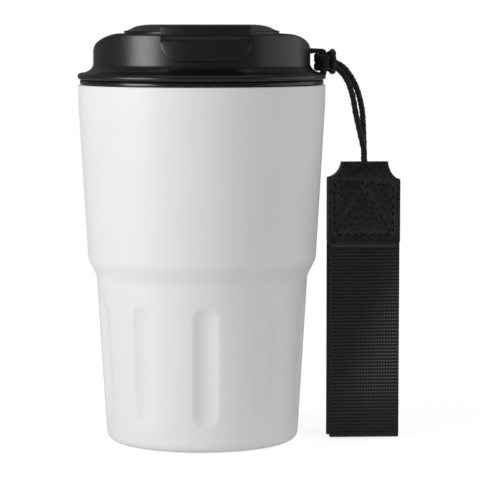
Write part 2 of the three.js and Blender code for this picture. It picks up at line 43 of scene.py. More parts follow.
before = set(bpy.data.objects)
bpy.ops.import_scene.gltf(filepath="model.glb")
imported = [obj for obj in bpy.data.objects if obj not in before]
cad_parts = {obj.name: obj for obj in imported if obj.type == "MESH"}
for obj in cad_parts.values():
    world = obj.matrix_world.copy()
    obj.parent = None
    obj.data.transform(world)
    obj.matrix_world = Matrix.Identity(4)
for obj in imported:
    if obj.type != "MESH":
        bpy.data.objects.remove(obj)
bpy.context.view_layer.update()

MM = 0.001
FULL_TURN = 2 * math.pi


# ---------------------------------------------------------------- sizes, in millimetres

FOOT_Z = 0.6
FOOT_RADIUS = 34.4
FOOT_ROUND = 3.2
GRIP_TOP_Z = 58.4
GRIP_TOP_RADIUS = 37.65
SHOULDER_TOP_Z = 67.0
SHOULDER_TOP_RADIUS = 40.8
MOUTH_Z = 127.7
MOUTH_RADIUS = 44.0
SHELL_WALL = 0.8
LINER_WALL = 0.7
LINER_FLOOR_Z = 12.0
NECK_RADIUS = 39.4
LIP_RADIUS = 42.9
LIP_TOP_Z = 129.2

THREAD_LEAD = 8.0
THREAD_STARTS = 2
THREAD_SPAN = math.radians(150)
INSERT_RADIUS = 37.4
INSERT_BOTTOM_Z = 108.3
INSERT_THREAD_Z = 113.5
GASKET_GROOVE_Z = 123.0

FLANGE_Z = 129.5
FLANGE_RADIUS = 44.2
FLANGE_HEIGHT = 2.4
FLARE_RADIUS = 43.4
FLARE_WIDTH = 4.8
FLARE_HEIGHT = 3.4
LID_RADIUS = 38.6
LID_BORE = 36.4
LID_TOP_Z = 145.8
ROOF_WALL = 2.0
ARCH_CENTRE_X = 29.0
ARCH_CENTRE_Z = 140.5
ARCH_HALF_WIDTH = 9.6
ARCH_FULLNESS = 1.7
RECESS_RADIUS = 29.2
DECK_Z = 140.1
DECK_WALL = 2.0

COVER_RADIUS = 27.8
COVER_EDGE_Z = 146.4
COVER_TOP_Z = 149.0
SKIRT_Z = 145.2
TAB_HALF_WIDTH = 15.4
TAB_BOTTOM_Z = 136.6
TAB_CORNER = 6.0
TAB_INNER_RADIUS = 39.2
TAB_OUTER_RADIUS = 41.2
HINGE_Y = 29.0
HINGE_Z = 144.5
HINGE_RADIUS = 2.3
PIN_RADIUS = 1.0
BARREL_HALF_LENGTH = 8.2
EAR_OUTER_X = 12.4

SPOUT_Y = -21.0
SPOUT_HALF_X = 6.5
SPOUT_HALF_Y = 3.5
VENT_Y = 6.0
VENT_RADIUS = 1.4

LUG_HALF_WIDTH = 2.3
LUG_POST_X = 42.3
LUG_OUTER_X = 44.4
LUG_TOP_Z = 140.4
LUG_BAR = 1.5

STRAP_CENTRE_X = 57.5
STRAP_WIDTH = 24.8
STRAP_BOTTOM_Z = 0.2
STRAP_TOP_Z = 93.9
STRAP_HALF_THICKNESS = 1.7
WEBBING = 1.2
LEATHER_TOP_Z = 100.05
LEATHER_BOTTOM_Z = 69.7
LEATHER_HALF_THICKNESS = 2.9

# The cord's two strands, from the hitch at the lug down to the leather, as x and z.
BACK_STRAND = [
    (48.2, 135.3), (50.0, 134.3), (51.8, 132.6), (53.7, 129.9), (55.1, 127.2), (56.2, 124.1),
    (57.1, 120.5), (57.6, 117.3), (57.9, 112.8), (58.1, 107.8), (58.2, 103.8), (58.2, 100.4),
]
FRONT_STRAND = [
    (48.2, 133.4), (49.9, 131.9), (51.3, 130.0), (52.5, 127.7), (53.3, 125.3), (54.0, 122.7),
    (54.8, 118.2), (55.4, 115.3), (56.4, 110.9), (57.2, 107.5), (57.9, 104.1), (58.1, 100.4),
]
STRAND_OFFSET_Y = 1.3
HITCH_CORD = 1.0
HITCH_TURN = 640
HITCH_STEPS = 22


# ---------------------------------------------------------------- settings

class CupSettings(bpy.types.PropertyGroup):
    flute_count: IntProperty(name="Flutes", description="Flutes round the grip", default=10, min=3)
    flute_width: FloatProperty(
        name="Flute width", description="Width of one flute", default=9.0 * MM, unit="LENGTH"
    )
    flute_depth: FloatProperty(
        name="Flute depth", description="Depth of a flute at its middle", default=1.2 * MM, unit="LENGTH"
    )
    flute_bottom: FloatProperty(
        name="Flute bottom", description="Height of a flute's lower end", default=9.7 * MM, unit="LENGTH"
    )
    flute_top: FloatProperty(
        name="Flute top", description="Height of a flute's upper end", default=51.7 * MM, unit="LENGTH"
    )
    coat: FloatVectorProperty(
        name="Coat", description="Colour of the powder coat", default=(0.8, 0.8, 0.798), subtype="COLOR"
    )
    coat_roughness: FloatProperty(
        name="Coat roughness", description="Roughness of the powder coat", default=0.5, subtype="FACTOR"
    )


class LidSettings(bpy.types.PropertyGroup):
    plastic: FloatVectorProperty(
        name="Plastic",
        description="Colour of the moulded plastic",
        default=(0.0075, 0.0075, 0.0078),
        subtype="COLOR",
    )
    plastic_roughness: FloatProperty(
        name="Plastic roughness", description="Roughness of the plastic", default=0.3, subtype="FACTOR"
    )


class LanyardSettings(bpy.types.PropertyGroup):
    cord_diameter: FloatProperty(
        name="Cord diameter",
        description="Outer diameter of the braided cord",
        default=2.0 * MM,
        unit="LENGTH",
    )
    cord_yarns: IntProperty(
        name="Yarns", description="Yarns that wind each way round the braid", default=4, min=2
    )
    braid_lay: FloatProperty(
        name="Braid lay", description="Length of one turn of a yarn", default=6.0 * MM, unit="LENGTH"
    )
    stitch_pitch: FloatProperty(
        name="Stitch pitch", description="Distance between stitches", default=2.65 * MM, unit="LENGTH"
    )
    rib_pitch: FloatProperty(
        name="Rib pitch", description="Distance between the webbing's ribs", default=1.25 * MM, unit="LENGTH"
    )
    warp_pitch: FloatProperty(
        name="Warp pitch",
        description="Distance between the webbing's warp ends",
        default=1.0 * MM,
        unit="LENGTH",
    )
    leather: FloatVectorProperty(
        name="Leather", description="Colour of the leather", default=(0.0065, 0.0068, 0.007), subtype="COLOR"
    )
    webbing: FloatVectorProperty(
        name="Webbing", description="Colour of the webbing", default=(0.0042, 0.0042, 0.0044), subtype="COLOR"
    )


class StageSettings(bpy.types.PropertyGroup):
    key_strength: FloatProperty(
        name="Key", description="Power of the left softbox", default=4.4, unit="POWER"
    )
    fill_strength: FloatProperty(
        name="Fill", description="Power of the right panel", default=1.3, unit="POWER"
    )
    wash_strength: FloatProperty(
        name="Wash", description="Power of each dim front light", default=4.6, unit="POWER"
    )
    top_strength: FloatProperty(
        name="Top", description="Power of the overhead panel", default=1.2, unit="POWER"
    )
    floor: FloatVectorProperty(
        name="Floor", description="Colour of the floor", default=(0.5, 0.5, 0.5), subtype="COLOR"
    )
    floor_glow: FloatProperty(
        name="Floor glow",
        description="Light that the floor gives off by the mug",
        default=0.8,
        subtype="FACTOR",
    )


# ---------------------------------------------------------------- meshes

def smoothstep(t):
    t = min(max(t, 0.0), 1.0)
    return t * t * (3 - 2 * t)


def arc(cu, cv, ru, rv, start, end, steps):
    """Points of an elliptical arc, from one angle in degrees to another."""
    points = []
    for i in range(steps + 1):
        angle = math.radians(start + (end - start) * i / steps)
        points.append((cu + ru * math.cos(angle), cv + rv * math.sin(angle)))
    return points


def rounded(points, radius, steps=3):
    """An open outline with each inner corner rounded; a corner may carry its own radius as a third number."""
    out = [tuple(points[0][:2])]
    for before, corner, after in zip(points, points[1:], points[2:]):
        here = Vector(corner[:2])
        back = Vector(before[:2]) - here
        ahead = Vector(after[:2]) - here
        size = corner[2] if len(corner) > 2 else radius
        size = min(size, back.length * 0.48, ahead.length * 0.48)
        if size < 0.01:
            out.append(tuple(here))
            continue
        start = here + back.normalized() * size
        end = here + ahead.normalized() * size
        for i in range(steps + 1):
            t = i / steps
            out.append(tuple(start * (1 - t) ** 2 + here * 2 * t * (1 - t) + end * t * t))
    out.append(tuple(points[-1][:2]))
    return out


def densified(points, spacing):
    """An outline with extra points, so that no step is longer than the spacing."""
    out = [points[0]]
    for a, b in zip(points, points[1:]):
        count = max(1, math.ceil(math.dist(a, b) / spacing))
        for i in range(1, count + 1):
            t = i / count
            out.append((a[0] + (b[0] - a[0]) * t, a[1] + (b[1] - a[1]) * t))
    return out


def new_piece(name, vertices, faces, finish=None):
    """A smooth-shaded object from points in millimetres, its faces pointing out."""
    mesh = bpy.data.meshes.new(name)
    mesh.from_pydata([[c * MM for c in v] for v in vertices], [], faces)
    piece = bpy.data.objects.new(name, mesh)
    bpy.context.scene.collection.objects.link(piece)
    clean(piece)
    if finish:
        mesh.materials.append(finish)
    return piece


def clean(piece, sharp=32):
    """Merge doubles, point the faces out and smooth all but the sharp edges."""
    mesh = piece.data
    work = bmesh.new()
    work.from_mesh(mesh)
    bmesh.ops.remove_doubles(work, verts=work.verts, dist=0.002 * MM)
    bmesh.ops.dissolve_degenerate(work, edges=work.edges, dist=0.001 * MM)
    bmesh.ops.recalc_face_normals(work, faces=work.faces)
    work.to_mesh(mesh)
    work.free()
    mesh.shade_smooth()
    mesh.set_sharp_from_angle(angle=math.radians(sharp))
    mesh.update()


def grid_faces(rows, columns, wrap_rows, wrap_columns):
    faces = []
    for i in range(rows if wrap_rows else rows - 1):
        for j in range(columns if wrap_columns else columns - 1):
            a = i * columns + j
            b = i * columns + (j + 1) % columns
            c = (i + 1) % rows * columns + (j + 1) % columns
            d = (i + 1) % rows * columns + j
            faces.append((a, b, c, d))
    return faces


def turned(name, outline, steps=128, finish=None):
    """A body turned about Z from a closed outline, or from one whose ends lie on the axis.
    The outline is a list, or a function of the angle that returns lists of one length."""
    follow = outline if callable(outline) else lambda angle: outline
    first = follow(0.0)
    on_axis = first[0][0] < 1e-6 and first[-1][0] < 1e-6
    vertices = []
    for i in range(steps):
        angle = FULL_TURN * i / steps
        for r, z in follow(angle):
            vertices.append((r * math.cos(angle), r * math.sin(angle), z))
    faces = grid_faces(steps, len(first), True, not on_axis)
    return new_piece(name, vertices, faces, finish)


def swept(name, sections, finish=None):
    """A body through closed sections of one length, capped at both ends."""
    count = len(sections[0])
    vertices = [point for section in sections for point in section]
    faces = grid_faces(len(sections), count, False, True)
    faces.append(tuple(range(count)))
    faces.append(tuple(reversed(range((len(sections) - 1) * count, len(vertices)))))
    return new_piece(name, vertices, faces, finish)


def block(name, x, y, z):
    corners = [(a, b, c) for a in x for b in y for c in z]
    faces = [(0, 1, 3, 2), (4, 6, 7, 5), (0, 4, 5, 1), (2, 3, 7, 6), (0, 2, 6, 4), (1, 5, 7, 3)]
    return new_piece(name, corners, faces)


def prism(name, outline, low, high, along):
    """An outline in the two other axes, extruded along x, y or z."""
    place = {
        "x": lambda u, v, w: (w, u, v),
        "y": lambda u, v, w: (u, w, v),
        "z": lambda u, v, w: (u, v, w),
    }[along]
    return swept(name, [[place(u, v, w) for u, v in outline] for w in (low, high)])


def oval(half_x, half_y, centre_y, steps=48):
    """A slot's outline with round ends along x, or a circle where both halves are the same."""
    reach = half_x - half_y
    right = arc(reach, centre_y, half_y, half_y, -90, 90, steps // 2)
    left = arc(-reach, centre_y, half_y, half_y, 90, 270, steps // 2)
    return right + left if reach > 1e-6 else right[:-1] + left[:-1]


def carve(piece, tool, operation="DIFFERENCE"):
    """Cut the tool from the piece or join it on, and drop the tool."""
    cutter = piece.modifiers.new("carve", "BOOLEAN")
    cutter.operation = operation
    cutter.solver = "EXACT"
    cutter.object = tool
    settle(piece)
    old = tool.data
    bpy.data.objects.remove(tool)
    bpy.data.meshes.remove(old)
    clean(piece)
    return piece


def soften(piece, width, segments=2, angle=40):
    """Round the sharp edges of a piece."""
    bevel = piece.modifiers.new("soften", "BEVEL")
    bevel.width = width * MM
    bevel.segments = segments
    bevel.limit_method = "ANGLE"
    bevel.angle_limit = math.radians(angle)
    bevel.use_clamp_overlap = True
    settle(piece)
    clean(piece)
    return piece


def settle(piece):
    """Turn what the piece's modifiers make into its plain mesh."""
    graph = bpy.context.evaluated_depsgraph_get()
    graph.update()
    mesh = bpy.data.meshes.new_from_object(
        piece.evaluated_get(graph), preserve_all_data_layers=True, depsgraph=graph
    )
    piece.modifiers.clear()
    old = piece.data
    piece.data = mesh
    mesh.name = piece.name
    if old.users == 0:
        bpy.data.meshes.remove(old)
    return piece


def joined(name, pieces):
    """One object from several."""
    work = bmesh.new()
    finishes = []
    for piece in pieces:
        for finish in piece.data.materials:
            if finish and finish not in finishes:
                finishes.append(finish)
    for piece in pieces:
        start = len(work.faces)
        own = list(piece.data.materials)
        work.from_mesh(piece.data)
        work.faces.ensure_lookup_table()
        for face in work.faces[start:]:
            finish = own[face.material_index] if own else None
            face.material_index = finishes.index(finish) if finish in finishes else 0
    mesh = bpy.data.meshes.new(name)
    work.to_mesh(mesh)
    work.free()
    for finish in finishes:
        mesh.materials.append(finish)
    whole = bpy.data.objects.new(name, mesh)
    bpy.context.scene.collection.objects.link(whole)
    for piece in pieces:
        old = piece.data
        bpy.data.objects.remove(piece)
        bpy.data.meshes.remove(old)
    return whole


def wear(piece, finish):
    piece.data.materials.clear()
    piece.data.materials.append(finish)
    return piece


# ---------------------------------------------------------------- node trees

class NodeBench:
    """Short calls that add nodes to a tree and link them."""

    def __init__(self, tree):
        self.tree = tree

    def add(self, kind, **settings):
        node = self.tree.nodes.new(kind)
        for key, value in settings.items():
            setattr(node, key, value)
        return node

    def plug(self, value, socket):
        if isinstance(value, bpy.types.NodeSocket):
            self.tree.links.new(value, socket)
        elif value is not None:
            socket.default_value = value

    def math(self, operation, *values, clamp=False):
        node = self.add("ShaderNodeMath", operation=operation, use_clamp=clamp)
        for value, socket in zip(values, node.inputs):
            self.plug(value, socket)
        return node.outputs[0]

    def vector(self, operation, *values):
        node = self.add("ShaderNodeVectorMath", operation=operation)
        for value, socket in zip(values, node.inputs):
            self.plug(value, socket)
        if operation == "SCALE":
            self.plug(values[1], node.inputs["Scale"])
        output = "Value" if operation in ("DOT_PRODUCT", "LENGTH", "DISTANCE") else "Vector"
        return node.outputs[output]

    def combine(self, x=0.0, y=0.0, z=0.0):
        node = self.add("ShaderNodeCombineXYZ")
        for value, socket in zip((x, y, z), node.inputs):
            self.plug(value, socket)
        return node.outputs[0]

    def split(self, vector):
        node = self.add("ShaderNodeSeparateXYZ")
        self.plug(vector, node.inputs[0])
        return node.outputs

    def ramp(self, value, stops):
        """Map a value through stops of position and grey or colour."""
        node = self.add("ShaderNodeValToRGB")
        self.plug(value, node.inputs[0])
        ramp = node.color_ramp
        while len(ramp.elements) < len(stops):
            ramp.elements.new(0.5)
        for element, (place, colour) in zip(ramp.elements, stops):
            element.position = place
            shade = (colour,) * 3 if isinstance(colour, float) else tuple(colour)
            element.color = (*shade, 1.0)
        return node.outputs[0]


class GeometryTree(NodeBench):
    """A Geometry Nodes tree with named inputs, ending in Realize Instances and Set Material."""

    KINDS = {float: "NodeSocketFloat", int: "NodeSocketInt"}

    def __init__(self, name, inputs, finish):
        super().__init__(bpy.data.node_groups.new(name, "GeometryNodeTree"))
        face = self.tree.interface
        face.new_socket("Geometry", in_out="INPUT", socket_type="NodeSocketGeometry")
        face.new_socket("Geometry", in_out="OUTPUT", socket_type="NodeSocketGeometry")
        self.sizes = {}
        for label, value in inputs.items():
            socket = face.new_socket(label, in_out="INPUT", socket_type=self.KINDS[type(value)])
            socket.default_value = value
            self.sizes[socket.identifier] = value
        self.inlet = self.add("NodeGroupInput").outputs
        self.finish = finish

    def end(self, geometry):
        real = self.add("GeometryNodeRealizeInstances")
        coat = self.add("GeometryNodeSetMaterial")
        outlet = self.add("NodeGroupOutput")
        self.plug(geometry, real.inputs[0])
        self.plug(real.outputs[0], coat.inputs["Geometry"])
        coat.inputs["Material"].default_value = self.finish
        self.plug(coat.outputs[0], outlet.inputs[0])

    def grow(self, piece):
        """Run the tree on a piece and keep the result as its plain mesh."""
        modifier = piece.modifiers.new(self.tree.name, "NODES")
        modifier.node_group = self.tree
        for identifier, value in self.sizes.items():
            modifier[identifier] = value
        settle(piece)
        if self.finish.name not in [m.name for m in piece.data.materials if m]:
            wear(piece, self.finish)
        return piece


# ---------------------------------------------------------------- finishes

class Finish(NodeBench):
    """A procedural material with one Principled shader."""

    def __init__(self, name, colour, roughness, metallic=0.0, specular=0.5):
        self.material = bpy.data.materials.new(name)
        self.material.use_nodes = True
        super().__init__(self.material.node_tree)
        self.shader = self.tree.nodes["Principled BSDF"]
        self.shader.inputs["Base Color"].default_value = (*colour, 1.0)
        self.shader.inputs["Roughness"].default_value = roughness
        self.shader.inputs["Metallic"].default_value = metallic
        self.shader.inputs["Specular IOR Level"].default_value = specular
        self.place = self.add("ShaderNodeTexCoord").outputs["Object"]

    def set(self, label, value):
        self.plug(value, self.shader.inputs[label])

    def noise(self, scale, detail=3.0, roughness=0.5, place=None):
        node = self.add("ShaderNodeTexNoise")
        self.plug(place or self.place, node.inputs["Vector"])
        node.inputs["Scale"].default_value = scale
        node.inputs["Detail"].default_value = detail
        node.inputs["Roughness"].default_value = roughness
        return node.outputs[0]

    def cells(self, scale, feature="F1", place=None, randomness=1.0):
        node = self.add("ShaderNodeTexVoronoi", feature=feature)
        self.plug(place or self.place, node.inputs["Vector"])
        node.inputs["Scale"].default_value = scale
        node.inputs["Randomness"].default_value = randomness
        return node.outputs["Distance"]

    def spread(self, value, start, end):
        """Rise smoothly from 0 at one value to 1 at another."""
        node = self.add("ShaderNodeMapRange", interpolation_type="SMOOTHSTEP")
        self.plug(value, node.inputs[0])
        node.inputs[1].default_value = start
        node.inputs[2].default_value = end
        return node.outputs[0]

    def bump(self, height, strength, distance, under=None):
        node = self.add("ShaderNodeBump")
        self.plug(height, node.inputs["Height"])
        node.inputs["Strength"].default_value = strength
        node.inputs["Distance"].default_value = distance * MM
        if under:
            self.plug(under, node.inputs["Normal"])
        self.plug(node.outputs[0], self.shader.inputs["Normal"])
        return node.outputs[0]

    def tint(self, factor, dark, light):
        """Colour the surface between two shades by a factor."""
        node = self.add("ShaderNodeMix", data_type="RGBA")
        self.plug(factor, node.inputs["Factor"])
        node.inputs[6].default_value = (*dark, 1.0)
        node.inputs[7].default_value = (*light, 1.0)
        self.plug(node.outputs[2], self.shader.inputs["Base Color"])
        return node.outputs[2]

    def between(self, label, factor, low, high):
        """Run a shader value between two numbers by a factor."""
        node = self.add("ShaderNodeMapRange")
        self.plug(factor, node.inputs[0])
        node.inputs[3].default_value = low
        node.inputs[4].default_value = high
        self.plug(node.outputs[0], self.shader.inputs[label])


def shaded(colour, amount):
    return tuple(c * amount for c in colour)


def powder_coat(colour, roughness):
    coat = Finish("powder_coat", colour, roughness, specular=0.35)
    speckle = coat.noise(2600, 2)
    peel = coat.cells(1500, "SMOOTH_F1")
    drift = coat.noise(45, 2)
    coat.tint(coat.ramp(drift, [(0.35, 0.0), (0.65, 1.0)]), shaded(colour, 0.985), shaded(colour, 1.01))
    coat.between("Roughness", speckle, roughness - 0.06, roughness + 0.07)
    fine = coat.bump(speckle, 0.22, 0.012)
    coat.bump(peel, 0.16, 0.03, fine)
    return coat.material


def moulded_plastic(colour, roughness, name="moulded_plastic", grain=0.3):
    plastic = Finish(name, colour, roughness, specular=0.5)
    sparks = plastic.cells(1900)
    broad = plastic.noise(160, 3)
    fine = plastic.noise(3200, 2)
    plastic.tint(broad, shaded(colour, 0.85), shaded(colour, 1.18))
    plastic.between("Roughness", fine, roughness - 0.07, roughness + 0.09)
    soft = plastic.bump(broad, 0.05, 0.05)
    plastic.bump(sparks, grain, 0.03, soft)
    return plastic.material


def brushed_steel(name, colour, roughness, along):
    """Steel with fine brushing that runs round the axis, or along z."""
    steel = Finish(name, colour, roughness, metallic=1.0)
    x, y, z = steel.split(steel.place)
    if along == "round":
        squares = steel.math("ADD", steel.math("MULTIPLY", x, x), steel.math("MULTIPLY", y, y))
        radius = steel.math("SQRT", squares)
        turn = steel.math("ARCTAN2", y, x)
        lines = steel.combine(steel.math("MULTIPLY", turn, 0.004), radius, z)
    else:
        lines = steel.combine(x, y, steel.math("MULTIPLY", z, 0.04))
    streaks = steel.noise(5200, 3, 0.6, lines)
    smudge = steel.noise(70, 3)
    steel.between("Roughness", smudge, roughness - 0.05, roughness + 0.1)
    steel.tint(streaks, shaded(colour, 0.86), shaded(colour, 1.1))
    steel.bump(streaks, 0.22, 0.012)
    return steel.material


def silicone(name, colour):
    rubber = Finish(name, colour, 0.62, specular=0.4)
    bloom = rubber.noise(240, 4)
    fine = rubber.noise(2600, 2)
    rubber.tint(bloom, shaded(colour, 0.88), shaded(colour, 1.25))
    rubber.between("Roughness", fine, 0.55, 0.72)
    rubber.bump(fine, 0.14, 0.015)
    return rubber.material


def braided_yarn(colour):
    """Filament yarn: fine fibres along each strand, from the braid's own map."""
    yarn = Finish("braided_yarn", colour, 0.52, specular=0.45)
    along = yarn.add("ShaderNodeUVMap", uv_map="strand").outputs[0]
    u, v, _ = yarn.split(along)
    fibre_place = yarn.combine(yarn.math("MULTIPLY", u, 9.0), yarn.math("MULTIPLY", v, 0.5))
    fibres = yarn.noise(6.0, 3, 0.6, fibre_place)
    fuzz = yarn.noise(2200, 3)
    yarn.tint(fibres, shaded(colour, 0.35), shaded(colour, 1.5))
    yarn.between("Roughness", fuzz, 0.42, 0.66)
    yarn.set("Sheen Weight", 0.06)
    yarn.set("Sheen Roughness", 0.4)
    yarn.bump(fibres, 0.5, 0.05)
    return yarn.material


def grained_leather(colour):
    hide = Finish("grained_leather", colour, 0.4, specular=0.5)
    pebbles = hide.cells(1150, "SMOOTH_F1")
    creases = hide.cells(700, "DISTANCE_TO_EDGE")
    pores = hide.noise(1500, 2)
    patches = hide.noise(190, 4)
    edge = hide.add("ShaderNodeAttribute", attribute_name="cut_edge").outputs["Fac"]
    mixed = hide.math("ADD", hide.math("MULTIPLY", patches, 0.3), hide.math("MULTIPLY", pores, 0.7))
    base = hide.tint(hide.spread(mixed, 0.4, 0.64), shaded(colour, 0.3), shaded(colour, 2.6))
    rub = hide.add("ShaderNodeMix", data_type="RGBA")
    hide.plug(edge, rub.inputs["Factor"])
    hide.plug(base, rub.inputs[6])
    rub.inputs[7].default_value = (0.085, 0.085, 0.083, 1.0)
    # painted shade: the seam grooves are darkened almost to black by the seam attribute, standing in for the
    # shadow in them
    groove = hide.add("ShaderNodeMix", data_type="RGBA")
    seam = hide.add("ShaderNodeAttribute", attribute_name="seam").outputs["Fac"]
    hide.plug(hide.math("MULTIPLY", seam, 0.9), groove.inputs["Factor"])
    hide.plug(rub.outputs[2], groove.inputs[6])
    groove.inputs[7].default_value = (0.001, 0.001, 0.001, 1.0)
    hide.plug(groove.outputs[2], hide.shader.inputs["Base Color"])
    hide.between("Roughness", hide.spread(pores, 0.35, 0.65), 0.24, 0.5)
    lines = hide.ramp(creases, [(0.0, 0.0), (0.16, 1.0)])
    height = hide.math("ADD", hide.math("MULTIPLY", pebbles, -0.8), hide.math("MULTIPLY", lines, 0.5))
    fine = hide.bump(pores, 0.2, 0.02)
    hide.bump(height, 0.8, 0.12, fine)
    return hide.material


def woven_webbing(colour, rib_pitch, warp_pitch):
    """Filament webbing: fibres along each float. The crests are drawn paler towards one lower corner,
    which stands in for a highlight and stays put when the light moves."""
    web = Finish("woven_webbing", colour, 0.42, specular=0.5)
    place = web.add("ShaderNodeUVMap", uv_map="weave").outputs[0]
    u, v, _ = web.split(place)
    fibres = web.noise(1.0, 2, 0.6, web.combine(web.math("MULTIPLY", u, 3.0), web.math("MULTIPLY", v, 14.0)))
    drift = web.noise(120, 3)
    base = web.tint(fibres, shaded(colour, 0.5), shaded(colour, 1.3))
    # painted highlight: a mask that grows towards the web's lower corner, where the crests catch the light
    lean = web.math("ADD", web.math("MULTIPLY", u, 1 / STRAP_WIDTH), web.math("MULTIPLY", v, 0.0165))
    painted_highlight_mask = web.spread(lean, 1.15, 1.95)
    painted_highlight_mask = web.math("MULTIPLY", painted_highlight_mask, web.spread(v, 91.0, 66.0))
    rib = web.math("ABSOLUTE", web.math("SINE", web.math("MULTIPLY", v, math.pi / rib_pitch)))
    end = web.math("ABSOLUTE", web.math("SINE", web.math("MULTIPLY", u, math.pi / warp_pitch)))
    warp = web.math("ADD", web.math("MULTIPLY", web.math("POWER", end, 3.0), 0.85), 0.15)
    crest = web.math("MULTIPLY", web.math("POWER", rib, 4.0), warp)
    # painted highlight: the crests are mixed towards a pale grey by that mask
    painted_highlight_mix = web.add("ShaderNodeMix", data_type="RGBA")
    share = web.math("MULTIPLY", web.math("MULTIPLY", crest, painted_highlight_mask), web.math("ADD", fibres, 0.35))
    web.plug(share, painted_highlight_mix.inputs["Factor"])
    web.plug(base, painted_highlight_mix.inputs[6])
    painted_highlight_mix.inputs[7].default_value = (0.16, 0.16, 0.162, 1.0)
    web.plug(painted_highlight_mix.outputs[2], web.shader.inputs["Base Color"])
    web.between("Roughness", drift, 0.34, 0.52)
    web.set("Sheen Weight", 0.05)
    web.set("Sheen Roughness", 0.4)
    web.bump(fibres, 0.4, 0.04)
    return web.material


def stitching_thread(colour):
    thread = Finish("stitching_thread", colour, 0.45, specular=0.5)
    twist = thread.noise(3400, 2)
    thread.tint(twist, shaded(colour, 0.7), shaded(colour, 1.6))
    thread.between("Roughness", twist, 0.38, 0.58)
    thread.bump(twist, 0.4, 0.04)
    return thread.material


# ---------------------------------------------------------------- cup

def shell_outline(inset):
    """Outer skin of the cup from foot to mouth, moved inwards by an inset."""
    round_ = FOOT_ROUND - inset
    points = arc(FOOT_RADIUS - FOOT_ROUND, FOOT_Z + FOOT_ROUND, round_, round_, -90, 0, 10)
    for i in range(13):
        t = i / 12
        radius = GRIP_TOP_RADIUS + (SHOULDER_TOP_RADIUS - GRIP_TOP_RADIUS) * smoothstep(t)
        points.append((radius - inset, GRIP_TOP_Z + (SHOULDER_TOP_Z - GRIP_TOP_Z) * t))
    mouth_round = 0.5 if inset else 0.35
    middle = MOUTH_RADIUS - inset - mouth_round
    points.append((MOUTH_RADIUS - 0.1 - inset, 120.3))
    points += arc(middle, MOUTH_Z - inset - mouth_round, mouth_round, mouth_round, 0, 90, 6)
    return points


def flute_tree(cup, finish):
    """Press evenly spaced round-ended flutes into a turned wall."""
    tree = GeometryTree(
        "press_flutes",
        {
            "Count": cup.flute_count,
            "Width": cup.flute_width,
            "Depth": cup.flute_depth,
            "Bottom": cup.flute_bottom,
            "Top": cup.flute_top,
            "Rounding": 0.22 * MM,
        },
        finish,
    )
    size = tree.inlet
    place = tree.add("GeometryNodeInputPosition").outputs[0]
    x, y, z = tree.split(place)
    radius = tree.vector("LENGTH", tree.combine(x, y))
    turn = tree.math("ARCTAN2", x, tree.math("MULTIPLY", y, -1.0))
    gap = tree.math("DIVIDE", FULL_TURN, size["Count"])
    nearest = tree.math("MULTIPLY", tree.math("ROUND", tree.math("DIVIDE", turn, gap)), gap)
    across = tree.math("MULTIPLY", tree.math("SUBTRACT", turn, nearest), radius)
    half = tree.math("MULTIPLY", size["Width"], 0.5)
    low = tree.math("ADD", size["Bottom"], half)
    high = tree.math("SUBTRACT", size["Top"], half)
    level = tree.math("MINIMUM", tree.math("MAXIMUM", z, low), high)
    reach = tree.vector("LENGTH", tree.combine(across, tree.math("SUBTRACT", z, level)))
    deep = tree.math("MULTIPLY", size["Depth"], size["Depth"])
    squares = tree.math("ADD", tree.math("MULTIPLY", half, half), deep)
    ball = tree.math("DIVIDE", squares, tree.math("MULTIPLY", size["Depth"], 2.0))
    bounded = tree.math("MINIMUM", reach, tree.math("MULTIPLY", ball, 0.95))
    under = tree.math("SUBTRACT", tree.math("MULTIPLY", ball, ball), tree.math("MULTIPLY", bounded, bounded))
    bowl = tree.math("SUBTRACT", tree.math("SQRT", under), tree.math("SUBTRACT", ball, size["Depth"]))
    rounding = tree.math("MULTIPLY", size["Rounding"], size["Rounding"])
    soft = tree.math("SQRT", tree.math("ADD", tree.math("MULTIPLY", bowl, bowl), rounding))
    press = tree.math("MULTIPLY", tree.math("ADD", bowl, soft), 0.5)
    outward = tree.vector("NORMALIZE", tree.combine(x, y))
    shift = tree.vector("SCALE", outward, tree.math("MULTIPLY", press, -1.0))
    move = tree.add("GeometryNodeSetPosition")
    tree.plug(size["Geometry"], move.inputs["Geometry"])
    tree.plug(shift, move.inputs["Offset"])
    tree.end(move.outputs[0])
    return tree


